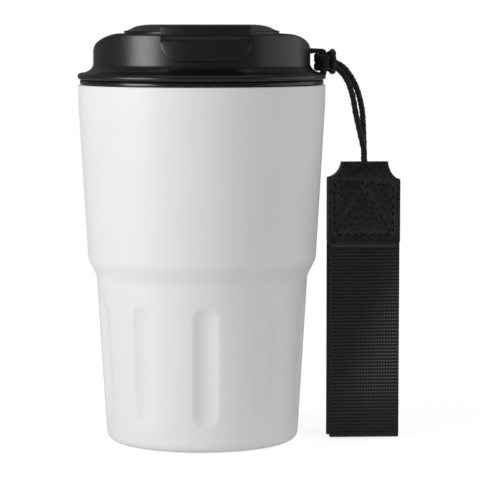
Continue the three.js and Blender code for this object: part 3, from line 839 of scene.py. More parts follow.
def thread_tree(finish, name):
    """Sweep a ridge section along the thread's helix, once for each start."""
    tree = GeometryTree(
        name,
        {
            "Radius": INSERT_RADIUS * MM,
            "Rise": 1.3 * MM,
            "Root": 0.4 * MM,
            "Half width": 0.65 * MM,
            "Lead": THREAD_LEAD * MM,
            "Starts": THREAD_STARTS,
            "Span": THREAD_SPAN,
            "First angle": 0.0,
            "Start height": INSERT_THREAD_Z * MM,
        },
        finish,
    )
    size = tree.inlet
    grid = tree.add("GeometryNodeMeshGrid")
    grid.inputs["Size X"].default_value = 1.0
    grid.inputs["Size Y"].default_value = 1.0
    grid.inputs["Vertices X"].default_value = 61
    grid.inputs["Vertices Y"].default_value = 9
    x, y, _ = tree.split(tree.add("GeometryNodeInputPosition").outputs[0])
    along = tree.math("ADD", x, 0.5)
    side = tree.math("MULTIPLY", y, 2.0)
    to_end = tree.math("MINIMUM", along, tree.math("SUBTRACT", 1.0, along))
    taper = tree.math("MINIMUM", tree.math("MULTIPLY", to_end, 14.0), 1.0)
    crown = tree.math("SUBTRACT", 1.0, tree.math("POWER", tree.math("ABSOLUTE", side), 3.0))
    height = tree.math("MULTIPLY", tree.math("MULTIPLY", crown, size["Rise"]), taper)
    sign = tree.math("SIGN", size["Rise"])
    sunk = tree.math("SUBTRACT", height, tree.math("MULTIPLY", sign, size["Root"]))
    angle = tree.math("ADD", tree.math("MULTIPLY", along, size["Span"]), size["First angle"])
    radius = tree.math("ADD", size["Radius"], sunk)
    turns = tree.math("DIVIDE", tree.math("MULTIPLY", along, size["Span"]), FULL_TURN)
    climb = tree.math("MULTIPLY", turns, size["Lead"])
    middle = tree.math("ADD", size["Start height"], climb)
    z = tree.math("ADD", middle, tree.math("MULTIPLY", side, size["Half width"]))
    target = tree.combine(
        tree.math("MULTIPLY", radius, tree.math("COSINE", angle)),
        tree.math("MULTIPLY", radius, tree.math("SINE", angle)),
        z,
    )
    bend = tree.add("GeometryNodeSetPosition")
    tree.plug(grid.outputs["Mesh"], bend.inputs["Geometry"])
    tree.plug(target, bend.inputs["Position"])
    line = tree.add("GeometryNodeMeshLine")
    tree.plug(size["Starts"], line.inputs["Count"])
    line.inputs["Offset"].default_value = (0.0, 0.0, 0.0)
    copies = tree.add("GeometryNodeInstanceOnPoints")
    tree.plug(line.outputs[0], copies.inputs["Points"])
    tree.plug(bend.outputs[0], copies.inputs["Instance"])
    index = tree.add("GeometryNodeInputIndex").outputs[0]
    spin = tree.math("MULTIPLY", index, tree.math("DIVIDE", FULL_TURN, size["Starts"]))
    tree.plug(tree.combine(0.0, 0.0, spin), copies.inputs["Rotation"])
    both = tree.add("GeometryNodeJoinGeometry")
    tree.plug(copies.outputs[0], both.inputs[0])
    tree.plug(size["Geometry"], both.inputs[0])
    tree.end(both.outputs[0])
    return tree


class MUG_OT_cup(bpy.types.Operator):
    """Build the coated outer shell with its flutes, the steel liner, the base cap and the pad"""

    bl_idname = "mug.cup"
    bl_label = "Cup"

    def execute(self, context):
        cup = context.scene.mug_cup
        coat = powder_coat(cup.coat, cup.coat_roughness)
        outer = densified(shell_outline(0.0), 0.9)
        rim = LIP_RADIUS - 1.1
        inner = list(reversed(shell_outline(SHELL_WALL)))
        foot_hole = FOOT_RADIUS - FOOT_ROUND - 0.8
        edge = [(rim, MOUTH_Z), (rim, MOUTH_Z - SHELL_WALL)]
        close = [(foot_hole, FOOT_Z + SHELL_WALL), (foot_hole, FOOT_Z)]
        shell = turned("cup_shell", outer + edge + densified(inner, 1.4) + close, 420)
        flute_tree(cup, coat).grow(shell)
        clean(shell)
        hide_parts("outer_shell")
        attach(shell, "mug")

        cap_rim = foot_hole - 0.3
        outline = [
            (0.0, 1.2), (cap_rim - 2, 1.2), (cap_rim - 1.4, FOOT_Z), (cap_rim, FOOT_Z),
            (cap_rim, 4.0), (cap_rim - 0.8, 4.0), (cap_rim - 0.8, 2.0), (0.0, 2.0),
        ]
        cap = turned("foot_cap", rounded(outline, 0.35), 160, coat)
        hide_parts("base_cap")
        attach(cap, "mug")

        rubber = silicone("black_silicone", (0.02, 0.02, 0.021))
        rings = []
        for i in range(8):
            middle = 5.5 + 2.7 * i
            rings += [(middle - 0.5, 0.0), (middle - 0.3, 0.25), (middle + 0.3, 0.25), (middle + 0.5, 0.0)]
        pad_outline = [(0.0, 0.0), *rings, (26.7, 0.0), (27.2, 0.4), (27.2, 0.9), (0.0, 0.9)]
        pad = turned("foot_pad", pad_outline, 128, rubber)
        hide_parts("base_pad")
        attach(pad, "mug")

        # a guessed dark skirt over the steel lip; its black plastic also stands in for the shade in the gap
        # under the lid's flange
        sleeve = [
            (LIP_RADIUS + 0.04, MOUTH_Z + 0.4), (LIP_RADIUS + 0.45, MOUTH_Z + 0.4, 0.15),
            (LIP_RADIUS + 0.5, MOUTH_Z + 1.0, 0.3), (LIP_RADIUS + 0.3, LIP_TOP_Z + 0.14, 0.2),
            (LIP_RADIUS - 1.4, LIP_TOP_Z + 0.14, 0.05), (LIP_RADIUS - 1.4, LIP_TOP_Z + 0.04),
            (LIP_RADIUS - 0.3, LIP_TOP_Z + 0.04, 0.3), (LIP_RADIUS + 0.04, LIP_TOP_Z - 0.4),
            (LIP_RADIUS + 0.04, MOUTH_Z + 0.4),
        ]
        sleeve_plastic = moulded_plastic((0.006, 0.006, 0.0062), 0.22, "sleeve_plastic", 0.1)
        guard = turned("rim_sleeve", rounded(sleeve, 0.02)[:-1], 256, sleeve_plastic)
        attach(guard, "mug")

        steel = brushed_steel("brushed_steel", (0.62, 0.62, 0.63), 0.2, "round")
        inside = [
            (0.0, LINER_FLOOR_Z), *arc(25.2, LINER_FLOOR_Z + 4, 4, 4, -90, 0, 8),
            (32.9, GRIP_TOP_Z, 6.0), (36.6, 69.3, 6.0), (NECK_RADIUS, 109.3, 6.0),
            (NECK_RADIUS, LIP_TOP_Z, 0.7), (LIP_RADIUS, LIP_TOP_Z, 0.5), (LIP_RADIUS, MOUTH_Z + 0.3, 0.5),
            (NECK_RADIUS + LINER_WALL, MOUTH_Z + 0.3), (NECK_RADIUS + LINER_WALL, 109.3),
            (36.6 + LINER_WALL, 69.3), (32.9 + LINER_WALL, GRIP_TOP_Z - LINER_WALL),
            *arc(25.2, LINER_FLOOR_Z + 4, 4 + LINER_WALL, 4 + LINER_WALL, 0, -90, 8),
            (0.0, LINER_FLOOR_Z - LINER_WALL),
        ]
        liner = turned("steel_liner", densified(rounded(inside, 0.3, 5), 5), 192, steel)
        thread = thread_tree(steel, "neck_thread")
        pitch = THREAD_LEAD / THREAD_STARTS
        start = (INSERT_THREAD_Z + pitch / 2 + THREAD_LEAD / 4) * MM
        resize(thread, {
            "Radius": NECK_RADIUS * MM, "Rise": -1.4 * MM, "First angle": math.pi / 2, "Start height": start,
        })
        thread.grow(liner)
        smooth(liner)
        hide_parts("inner_liner")
        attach(liner, "mug")

        dull = brushed_steel("pressed_steel", (0.42, 0.43, 0.44), 0.42, "round")
        for node in ("shell_base_plate", "getter_capsule", "getter_bracket", "vacuum_seal_bead"):
            wear_node(node, dull)
        return {"FINISHED"}


def resize(tree, values):
    """Give a tree's named inputs other values before it first runs."""
    for item in tree.tree.interface.items_tree:
        if item.in_out == "INPUT" and item.name in values:
            tree.sizes[item.identifier] = values[item.name]


def smooth(piece, sharp=32):
    piece.data.shade_smooth()
    piece.data.set_sharp_from_angle(angle=math.radians(sharp))


def wear_node(node, finish):
    """Give a CAD node's object a finish."""
    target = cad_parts[node]
    target = bpy.data.objects[target] if isinstance(target, str) else target
    if not target.material_slots:
        target.data.materials.append(finish)
    for slot in target.material_slots:
        slot.material = finish


# ---------------------------------------------------------------- lid

def arch_z(x, inset=0.0):
    """Height of the lid's arched top over a distance from its middle plane."""
    rise = LID_TOP_Z - ARCH_CENTRE_Z - inset
    reach = (abs(x) - ARCH_CENTRE_X) / (ARCH_HALF_WIDTH - inset)
    if reach <= 0:
        return ARCH_CENTRE_Z + rise
    return ARCH_CENTRE_Z + rise * max(0.0, 1 - reach ** ARCH_FULLNESS) ** (1 / ARCH_FULLNESS)


def lid_section(angle):
    """The lid body's closed section at an angle: flange, flare, wall, arched roof, recess and bore."""
    def roof(radius, inset=0.0):
        return arch_z(radius * math.cos(angle), inset)

    half = FLANGE_HEIGHT / 2
    wall_start = FLANGE_Z + FLANGE_HEIGHT + FLARE_HEIGHT
    flange = [(LID_BORE, FLANGE_Z), (FLANGE_RADIUS - 1.2, FLANGE_Z)]
    flange += arc(FLANGE_RADIUS - 1.2, FLANGE_Z + half, 1.2, half, -75, 75, 10)
    flare = arc(FLARE_RADIUS, wall_start, FLARE_WIDTH, FLARE_HEIGHT, -96, -180, 16)
    top = roof(LID_RADIUS)
    crown = min(0.9, (top - wall_start) * 0.45)
    wall = [(LID_RADIUS, wall_start + (top - crown - wall_start) * i / 8) for i in range(1, 9)]
    over = LID_RADIUS - crown
    corner = []
    for i in range(1, 7):
        t = i / 6
        r = (1 - t) ** 2 * LID_RADIUS + 2 * t * (1 - t) * LID_RADIUS + t * t * over
        z = (1 - t) ** 2 * (top - crown) + 2 * t * (1 - t) * top + t * t * roof(over)
        corner.append((r, min(z, roof(r))))
    roof_points = []
    for i in range(1, 13):
        r = over + (RECESS_RADIUS + 0.5 - over) * i / 12
        roof_points.append((r, roof(r)))
    lip = roof(RECESS_RADIUS)
    recess = [(RECESS_RADIUS + 0.13, lip - 0.13), (RECESS_RADIUS, lip - 0.5)]
    ledge = min(roof(RECESS_RADIUS, ROOF_WALL), LID_TOP_Z - ROOF_WALL)
    recess.append((RECESS_RADIUS, ledge))
    under = []
    for i in range(1, 7):
        r = RECESS_RADIUS + (LID_BORE - RECESS_RADIUS) * i / 6
        under.append((r, roof(r, ROOF_WALL)))
    bore = [(LID_BORE, FLANGE_Z + (under[-1][1] - FLANGE_Z) * (1 - i / 4)) for i in range(1, 4)]
    return flange + flare + wall + corner + roof_points + recess + under + bore


def lug_piece():
    """The lug's square bar and post, with soft corners."""
    foot = FLANGE_Z + 1.6
    wall = LID_RADIUS - 0.8
    outline = [
        (LUG_POST_X, foot), (LUG_OUTER_X, foot),
        *arc(LUG_OUTER_X - 1.6, LUG_TOP_Z - 1.6, 1.6, 1.6, 0, 90, 8),
        (wall, LUG_TOP_Z + 0.25), (wall, LUG_TOP_Z - LUG_BAR - 0.3),
        *arc(LUG_POST_X - 0.8, LUG_TOP_Z - LUG_BAR - 0.8, 0.8, 0.8, 90, 0, 6),
    ]
    lug = prism("lid_lug", outline, -LUG_HALF_WIDTH, LUG_HALF_WIDTH, "y")
    return soften(lug, 0.5, 3)


def notch(name, low):
    return block(name, (-EAR_OUTER_X - 0.8, EAR_OUTER_X + 0.8), (23, 33), (low, LID_TOP_Z + 3))


def lid_body(finish):
    body = turned("lid_body", lid_section, 240)
    carve(body, notch("notch_tool", LID_TOP_Z - 4))
    lug = lug_piece()
    whole = joined("lid_body", [body, lug])
    whole.name = "lid_body"
    clean(whole)
    wear(whole, finish)
    return whole


def lid_deck(finish):
    under = DECK_Z - DECK_WALL
    outer = LID_BORE - 0.3
    upstand = RECESS_RADIUS + 0.4
    top = LID_TOP_Z - ROOF_WALL - 0.3
    outline = [
        (0.0, under), (outer, under), (outer, DECK_Z), (upstand + 1.6, DECK_Z, 0.4), (upstand + 1.6, top),
        (upstand, top), (upstand, DECK_Z, 1.4), (24.5, DECK_Z), (24.1, DECK_Z - 0.35),
        (16.0, DECK_Z - 0.35), (15.6, DECK_Z), (0.0, DECK_Z),
    ]
    deck = turned("drink_deck", rounded(outline, 0.3), 192)
    carve(deck, notch("notch_tool", DECK_Z - 0.5))
    for side in (-1, 1):
        inner = BARREL_HALF_LENGTH + 0.4
        reach = sorted((side * inner, side * EAR_OUTER_X))
        outline = [
            (HINGE_Y + HINGE_RADIUS, DECK_Z - 1.2),
            *arc(HINGE_Y, HINGE_Z, HINGE_RADIUS, HINGE_RADIUS, 0, 180, 20),
            (HINGE_Y - HINGE_RADIUS, DECK_Z - 1.2),
        ]
        ear = soften(prism("ear", outline, reach[0], reach[1], "x"), 0.25)
        carve(deck, ear, "UNION")
    pin_hole = prism("pin_tool", oval(PIN_RADIUS + 0.25, PIN_RADIUS + 0.25, 0.0, 32), -12, 12, "x")
    for vertex in pin_hole.data.vertices:
        vertex.co.y += HINGE_Y * MM
        vertex.co.z += HINGE_Z * MM
    carve(deck, pin_hole)
    carve(deck, prism("spout_tool", oval(SPOUT_HALF_X, SPOUT_HALF_Y, SPOUT_Y), under - 1, DECK_Z + 1, "z"))
    carve(deck, prism("vent_tool", oval(VENT_RADIUS, VENT_RADIUS, VENT_Y, 32), under - 1, DECK_Z + 1, "z"))
    wear(deck, finish)
    return deck


def lid_insert(finish):
    floor = INSERT_BOTTOM_Z + 2
    neck = LID_BORE - 0.3
    top = DECK_Z - DECK_WALL - 0.3
    groove = INSERT_RADIUS - 1
    outline = [
        (0.0, INSERT_BOTTOM_Z), (INSERT_RADIUS - 2.6, INSERT_BOTTOM_Z, 1.2),
        (INSERT_RADIUS, INSERT_BOTTOM_Z + 3, 1.2), (INSERT_RADIUS, GASKET_GROOVE_Z),
        (groove, GASKET_GROOVE_Z), (groove, FLANGE_Z - 0.3), (neck, FLANGE_Z - 0.3),
        (neck, top), (neck - 1.8, top),
        (neck - 1.8, floor + 2.4), (neck - 4, floor), (0.0, floor),
    ]
    insert = turned("threaded_insert", rounded(outline, 0.25), 160)
    outer_spout = oval(SPOUT_HALF_X + 1.5, SPOUT_HALF_Y + 1.5, SPOUT_Y)
    carve(insert, prism("spout_tube", outer_spout, floor - 0.5, top, "z"), "UNION")
    outer_vent = oval(VENT_RADIUS + 1.3, VENT_RADIUS + 1.3, VENT_Y, 32)
    carve(insert, prism("vent_tube", outer_vent, floor - 0.5, top, "z"), "UNION")
    carve(insert, prism("spout_tool", oval(SPOUT_HALF_X, SPOUT_HALF_Y, SPOUT_Y), 100, 140, "z"))
    carve(insert, prism("vent_tool", oval(VENT_RADIUS, VENT_RADIUS, VENT_Y, 32), 100, 140, "z"))
    wear(insert, finish)
    thread_tree(finish, "insert_thread").grow(insert)
    smooth(insert)
    return insert


class MUG_OT_lid(bpy.types.Operator):
    """Build the lid body with its lug, the drinking deck, the threaded insert and the gasket"""

    bl_idname = "mug.lid"
    bl_label = "Lid"

    def execute(self, context):
        lid = context.scene.mug_lid
        plastic = moulded_plastic(lid.plastic, lid.plastic_roughness)
        for piece, node in (
            (lid_body(plastic), "lid_shell"),
            (lid_deck(plastic), "lid_deck"),
            (lid_insert(plastic), "lid_insert"),
        ):
            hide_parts(node)
            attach(piece, "lid")

        grey = silicone("grey_silicone", (0.3, 0.31, 0.32))
        inner = INSERT_RADIUS - 0.7
        outer = NECK_RADIUS - 0.3
        ring = [
            (inner, 123.6), (outer - 0.8, 123.6, 0.3), (outer, 124.5, 0.4), (outer - 0.9, 125.7, 0.3),
            (outer - 0.9, 126.3, 0.3), (outer, 127.5, 0.4), (outer - 0.8, 128.4, 0.3), (inner, 128.4),
        ]
        gasket = turned("sealing_ring", rounded(ring, 0.3), 160, grey)
        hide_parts("lid_gasket")
        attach(gasket, "lid_seal")
        wear_node("hinge_pin", brushed_steel("pin_steel", (0.6, 0.6, 0.61), 0.24, "along"))
        return {"FINISHED"}


def tab_columns():
    """Sideways places and lower edges of the thumb tab's columns, closer together round its corners."""
    flat = TAB_HALF_WIDTH - TAB_CORNER
    places = [(flat * (i / 14), TAB_BOTTOM_Z) for i in range(15)]
    for i in range(1, 15):
        turn = math.radians(90 * i / 14)
        places.append((flat + TAB_CORNER * math.sin(turn), TAB_BOTTOM_Z + TAB_CORNER * (1 - math.cos(turn))))
    return [(-x, z) for x, z in reversed(places[1:])] + places


def tab_piece():
    """The thumb tab: a curved band that hangs over the lid's front wall, and the plate that carries it."""
    sections = []
    for x, bottom in tab_columns():
        profile = [
            (17.5, COVER_EDGE_Z + 0.1), (TAB_INNER_RADIUS, COVER_EDGE_Z + 0.1, 0.6),
            (TAB_INNER_RADIUS, bottom, 0.35), (TAB_OUTER_RADIUS, bottom, 0.55),
            (TAB_OUTER_RADIUS, 143.5, 0.8), (39.8, 145.3, 0.9),
            (39.8, COVER_TOP_Z - 0.05, 1.1), (17.5, COVER_TOP_Z - 0.05),
        ]
        section = []
        for radius, z in rounded(profile, 0.4, 5):
            section.append((x, -math.sqrt(radius * radius - x * x), z))
        sections.append(section)
    return soften(swept("thumb_tab", sections), 0.45, 3, 50)


def cover_piece(finish):
    crown = [
        (0.0, COVER_EDGE_Z), (COVER_RADIUS - 0.25, COVER_EDGE_Z, 0.1),
        (COVER_RADIUS, COVER_EDGE_Z + 0.25, 0.15), (26.1, 147.05, 1.0),
        (24.8, 147.75, 1.0), (23.3, 148.4, 1.2), (20.8, 148.85, 1.5),
        (18.7, COVER_TOP_Z, 1.2), (0.0, COVER_TOP_Z),
    ]
    cover = turned("flip_cover_dome", rounded(crown, 0.3, 5), 240)
    pocket = [(0, 140), (23.6, 140), (23.6, COVER_TOP_Z - 1.5), (0, COVER_TOP_Z - 1.5)]
    carve(cover, turned("pocket", pocket, 96))
    low, high = COVER_RADIUS - 1.6, COVER_RADIUS - 0.2
    band = [(low, SKIRT_Z), (high, SKIRT_Z), (high, COVER_EDGE_Z + 0.2), (low, COVER_EDGE_Z + 0.2)]
    skirt = carve(turned("skirt", rounded(band + band[:1], 0.25)[:-1], 240), notch("notch_tool", SKIRT_Z - 1))
    carve(cover, skirt, "UNION")
    carve(cover, tab_piece(), "UNION")
    barrel_ring = [(HINGE_Y + u, HINGE_Z + v) for u, v in arc(0, 0, HINGE_RADIUS, HINGE_RADIUS, 0, 337.5, 15)]
    barrel = soften(prism("barrel", barrel_ring, -BARREL_HALF_LENGTH, BARREL_HALF_LENGTH, "x"), 0.25, 2, 60)
    carve(cover, barrel, "UNION")
    web = block("web", (-BARREL_HALF_LENGTH, BARREL_HALF_LENGTH), (24, HINGE_Y), (145.9, 146.8))
    carve(cover, web, "UNION")
    bore = PIN_RADIUS + 0.25
    hole = [(HINGE_Y + u, HINGE_Z + v) for u, v in arc(0, 0, bore, bore, 0, 330, 11)]
    carve(cover, prism("pin_tool", hole, -BARREL_HALF_LENGTH - 1, BARREL_HALF_LENGTH + 1, "x"))
    cover.name = "thumb_cover"
    wear(cover, finish)
    return cover


def stopper_piece(name, half_x, half_y, centre_y, finish):
    """A soft plug that widens to a head, with a rounded nose."""
    sections = []
    steps = [
        (-2.2, DECK_Z - 1.4), (-1.2, DECK_Z - 1.35), (-0.7, DECK_Z - 1.0), (-0.6, DECK_Z - 0.4),
        (-0.6, DECK_Z + 0.5), (1.2, DECK_Z + 0.5), (1.55, DECK_Z + 0.75), (1.6, DECK_Z + 1.2), (1.6, 143.9),
    ]
    for grow, z in steps:
        grow = max(grow, 0.3 - half_y)
        sections.append([(x, y, z) for x, y in oval_ring(half_x + grow, half_y + grow, centre_y)])
    return swept(name, sections, finish)


def oval_ring(half_x, half_y, centre_y, steps=48):
    reach = half_x - half_y
    ring = []
    for i in range(steps):
        turn = FULL_TURN * (i + 0.5) / steps
        shift = reach if math.cos(turn) > 0 else -reach
        ring.append((shift + half_y * math.cos(turn), centre_y + half_y * math.sin(turn)))
    return ring


class MUG_OT_cover(bpy.types.Operator):
    """Build the flip cover with its thumb tab, the liner plate under it and the two stoppers"""

    bl_idname = "mug.cover"
    bl_label = "Flip cover"

    def execute(self, context):
        plastic = bpy.data.materials["moulded_plastic"]
        rubber = bpy.data.materials["black_silicone"]
        plate = [
            (0.0, 144.2), (25.2, 144.2, 0.4), (25.8, 144.7, 0.3), (25.8, 145.8), (23.2, 145.8),
            (23.2, 147.0), (21.4, 147.0), (21.4, 145.8), (0.0, 145.8),
        ]
        liner = turned("cover_plate", rounded(plate, 0.25), 160, plastic)
        spout = stopper_piece("spout_plug", SPOUT_HALF_X, SPOUT_HALF_Y, SPOUT_Y, rubber)
        vent = stopper_piece("vent_plug", VENT_RADIUS, VENT_RADIUS, VENT_Y, rubber)
        for piece, node, slot in (
            (cover_piece(plastic), "flip_cover", "lid_plastic"),
            (liner, "cover_liner", "lid_plastic"),
            (spout, "spout_stopper", "silicone_black"),
            (vent, "vent_stopper", "silicone_black"),
        ):
            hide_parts(node)
            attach(piece, "flip_cover")
        return {"FINISHED"}


# ---------------------------------------------------------------- lanyard

def hitch_route():
    """The cord's turns round the lug's post, from the back strand round to the front one.
    Each strand goes round the post once and a half, and the bight between them lies over both."""
    middle = (LUG_POST_X + LUG_OUTER_X) / 2
    reach_x = (LUG_OUTER_X - LUG_POST_X) / 2 + HITCH_CORD * 1.25
    reach_y = LUG_HALF_WIDTH + HITCH_CORD * 0.95
    upper, lower = [], []
    for i in range(HITCH_STEPS + 1):
        share = i / HITCH_STEPS
        turn = math.radians(-30 - HITCH_TURN * share)
        square = max(abs(math.cos(turn)), abs(math.sin(turn))) ** 0.35
        x = middle + reach_x * math.cos(turn) / square
        y = reach_y * math.sin(turn) / square
        upper.append((x, y, 135.85 + 2.25 * share))
        lower.append((x, y, 134.85 - 1.5 * share))
    bight = [
        (46.3, 2.1, 138.8), (46.65, 0.2, 139.3), (46.7, -1.9, 138.7), (46.7, -3.0, 137.3),
        (46.7, -3.15, 135.7), (46.7, -3.0, 134.1), (46.7, -1.9, 132.8), (46.65, 0.2, 132.3),
        (46.3, 2.1, 132.7),
    ]
    into = [(47.1, 0.9, 135.9), (46.1, -0.5, 135.8)]
    out = [(46.1, -1.0, 134.7), (47.1, -1.1, 134.3)]
    return into + upper + bight + list(reversed(lower)) + out


def cord_points():
    """The whole cord, from inside the leather up to the hitch and back down, in millimetres."""
    inside = LEATHER_TOP_Z - 3.4
    back = [(x, STRAND_OFFSET_Y, z) for x, z in BACK_STRAND]
    front = [(x, -STRAND_OFFSET_Y, z) for x, z in FRONT_STRAND]
    route = [(BACK_STRAND[-1][0], 0.95, inside)] + list(reversed(back)) + hitch_route()
    return route + front + [(FRONT_STRAND[-1][0], -0.95, inside)]


def spline_points(points, spacing):
    """Evenly spaced points along a smooth curve through the given ones."""
    knots = [Vector(p) for p in points]
    knots = [knots[0] * 2 - knots[1]] + knots + [knots[-1] * 2 - knots[-2]]
    fine = []
    for a, b, c, d in zip(knots, knots[1:], knots[2:], knots[3:]):
        for i in range(24):
            t = i / 24
            bend = 2 * a - 5 * b + 4 * c - d
            twist = 3 * b - a - 3 * c + d
            fine.append(0.5 * (2 * b + (c - a) * t + bend * t * t + twist * t ** 3))
    fine.append(knots[-2])
    lengths = [0.0]
    for a, b in zip(fine, fine[1:]):
        lengths.append(lengths[-1] + (b - a).length)
    count = round(lengths[-1] / spacing)
    out = []
    k = 0
    for i in range(count + 1):
        want = lengths[-1] * i / count
        while k < len(lengths) - 2 and lengths[k + 1] < want:
            k += 1
        share = (want - lengths[k]) / max(lengths[k + 1] - lengths[k], 1e-9)
        out.append(fine[k].lerp(fine[k + 1], share))
    return out, lengths[-1]


def line_piece(name, points):
    """A mesh of one open line, for a tree to follow."""
    mesh = bpy.data.meshes.new(name)
    mesh.from_pydata([p * MM for p in points], [(i, i + 1) for i in range(len(points) - 1)], [])
    piece = bpy.data.objects.new(name, mesh)
    bpy.context.scene.collection.objects.link(piece)
    return piece


def braid_tree(lanyard, finish):
    """Plait yarns over and under each other round a cord's line, over a plain core."""
    tree = GeometryTree(
        "plait_cord",
        {
            "Diameter": lanyard.cord_diameter,
            "Yarns": lanyard.cord_yarns,
            "Lay": lanyard.braid_lay,
            "Yarn thickness": 0.36,
            "Weave height": 0.09,
        },
        finish,
    )
    size = tree.inlet
    curve = tree.add("GeometryNodeMeshToCurve")
    tree.plug(size["Geometry"], curve.inputs["Mesh"])
    radius = tree.math("MULTIPLY", size["Diameter"], 0.5)
    yarn_radius = tree.math("MULTIPLY", radius, size["Yarn thickness"])
    weave = tree.math("MULTIPLY", radius, size["Weave height"])
    ring = tree.math("SUBTRACT", radius, tree.math("MULTIPLY", yarn_radius, 0.8))
    parts = tree.add("GeometryNodeJoinGeometry")

    for way in (1.0, -1.0):
        line = tree.add("GeometryNodeMeshLine")
        tree.plug(size["Yarns"], line.inputs["Count"])
        line.inputs["Offset"].default_value = (0.0, 0.0, 0.0)
        copies = tree.add("GeometryNodeInstanceOnPoints")
        tree.plug(line.outputs[0], copies.inputs["Points"])
        tree.plug(curve.outputs[0], copies.inputs["Instance"])
        keep = tree.add("GeometryNodeStoreNamedAttribute", data_type="FLOAT", domain="INSTANCE")
        tree.plug(copies.outputs[0], keep.inputs["Geometry"])
        keep.inputs["Name"].default_value = "yarn"
        tree.plug(tree.add("GeometryNodeInputIndex").outputs[0], keep.inputs["Value"])
        real = tree.add("GeometryNodeRealizeInstances")
        tree.plug(keep.outputs[0], real.inputs[0])

        yarn = tree.add("GeometryNodeInputNamedAttribute", data_type="FLOAT")
        yarn.inputs["Name"].default_value = "yarn"
        index = yarn.outputs[0]
        start = tree.math("MULTIPLY", index, tree.math("DIVIDE", FULL_TURN, size["Yarns"]))
        length = tree.add("GeometryNodeSplineParameter").outputs["Length"]
        turns = tree.math("MULTIPLY", tree.math("DIVIDE", length, size["Lay"]), FULL_TURN * way)
        angle = tree.math("ADD", turns, start)
        # A yarn meets the ones that wind the other way twice their number of times in a turn.
        meeting = tree.math("MULTIPLY", tree.math("DIVIDE", length, size["Lay"]), FULL_TURN)
        beat = tree.math("MULTIPLY", tree.math("MULTIPLY", meeting, size["Yarns"]), 1.0)
        phase = tree.math("ADD", beat, tree.math("MULTIPLY", index, math.pi))
        wave = tree.math("MULTIPLY", tree.math("SINE", phase), way)
        reach = tree.math("ADD", ring, tree.math("MULTIPLY", wave, weave))
        normal = tree.add("GeometryNodeInputNormal").outputs[0]
        tangent = tree.add("GeometryNodeInputTangent").outputs[0]
        other = tree.vector("CROSS_PRODUCT", tangent, normal)
        out = tree.vector(
            "ADD",
            tree.vector("SCALE", normal, tree.math("COSINE", angle)),
            tree.vector("SCALE", other, tree.math("SINE", angle)),
        )
        move = tree.add("GeometryNodeSetPosition")
        tree.plug(real.outputs[0], move.inputs["Geometry"])
        tree.plug(tree.vector("SCALE", out, reach), move.inputs["Offset"])
        tree.plug(yarn_mesh(tree, move.outputs[0], yarn_radius, 6), parts.inputs[0])

    core_radius = tree.math("MULTIPLY", radius, 0.84)
    tree.plug(yarn_mesh(tree, curve.outputs[0], core_radius, 10), parts.inputs[0])
    tree.end(parts.outputs[0])
    return tree


def yarn_mesh(tree, curve, radius, sides):
    """A capped tube along a curve, with a map round and along it."""
    keep_length = tree.add("GeometryNodeCaptureAttribute", domain="POINT")
    keep_length.capture_items.new("FLOAT", "Length")
    tree.plug(curve, keep_length.inputs["Geometry"])
    length = tree.add("GeometryNodeSplineParameter").outputs["Length"]
    tree.plug(length, keep_length.inputs["Length"])
    circle = tree.add("GeometryNodeCurvePrimitiveCircle")
    circle.inputs["Resolution"].default_value = sides
    tree.plug(radius, circle.inputs["Radius"])
    keep_side = tree.add("GeometryNodeCaptureAttribute", domain="POINT")
    keep_side.capture_items.new("FLOAT", "Side")
    tree.plug(circle.outputs["Curve"], keep_side.inputs["Geometry"])
    side = tree.add("GeometryNodeSplineParameter").outputs["Factor"]
    tree.plug(side, keep_side.inputs["Side"])
    tube = tree.add("GeometryNodeCurveToMesh")
    tree.plug(keep_length.outputs["Geometry"], tube.inputs["Curve"])
    tree.plug(keep_side.outputs["Geometry"], tube.inputs["Profile Curve"])
    tube.inputs["Fill Caps"].default_value = True
    store = tree.add("GeometryNodeStoreNamedAttribute", data_type="FLOAT2", domain="CORNER")
    tree.plug(tube.outputs[0], store.inputs["Geometry"])
    store.inputs["Name"].default_value = "strand"
    along = tree.math("MULTIPLY", keep_length.outputs["Length"], 1.0 / MM)
    tree.plug(tree.combine(keep_side.outputs["Side"], along), store.inputs["Value"])
    return store.outputs[0]


class MUG_OT_cord(bpy.types.Operator):
    """Build the braided cord: hitched round the lug, its two strands go down into the leather"""

    bl_idname = "mug.cord"
    bl_label = "Cord"

    def execute(self, context):
        lanyard = context.scene.mug_lanyard
        yarn = braided_yarn((0.009, 0.009, 0.0095))
        points, length = spline_points(cord_points(), 0.3)
        cord = line_piece("wrist_cord", points)
        braid_tree(lanyard, yarn).grow(cord)
        smooth(cord, 60)
        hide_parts("cord_knot", "cord_strand_front", "cord_strand_back")
        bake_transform(cord)
        return {"FINISHED"}


# ---------------------------------------------------------------- strap and leather

STITCH_LEFT = 47.3
STITCH_RIGHT = 68.4
STITCH_TOP_LEFT = 93.5
STITCH_TOP_RIGHT = 92.0
STITCH_BOTTOM = 73.9
STITCH_APEX = (58.3, 89.8)
SEAM_WIDTH = 0.95
SEAM_DEPTH = 0.5
CORD_MOUTH_X = 58.2
SELVEDGE_TRIM = 0.65
WEB_OFFSET_X = 0.35


def curve_between(start, pull, end, steps):
    """Points of a curve from start to end that bends towards a third point."""
    points = []
    for i in range(steps + 1):
        t = i / steps
        a, b, c = (1 - t) ** 2, 2 * t * (1 - t), t * t
        points.append((a * start[0] + b * pull[0] + c * end[0], a * start[1] + b * pull[1] + c * end[1]))
    return points


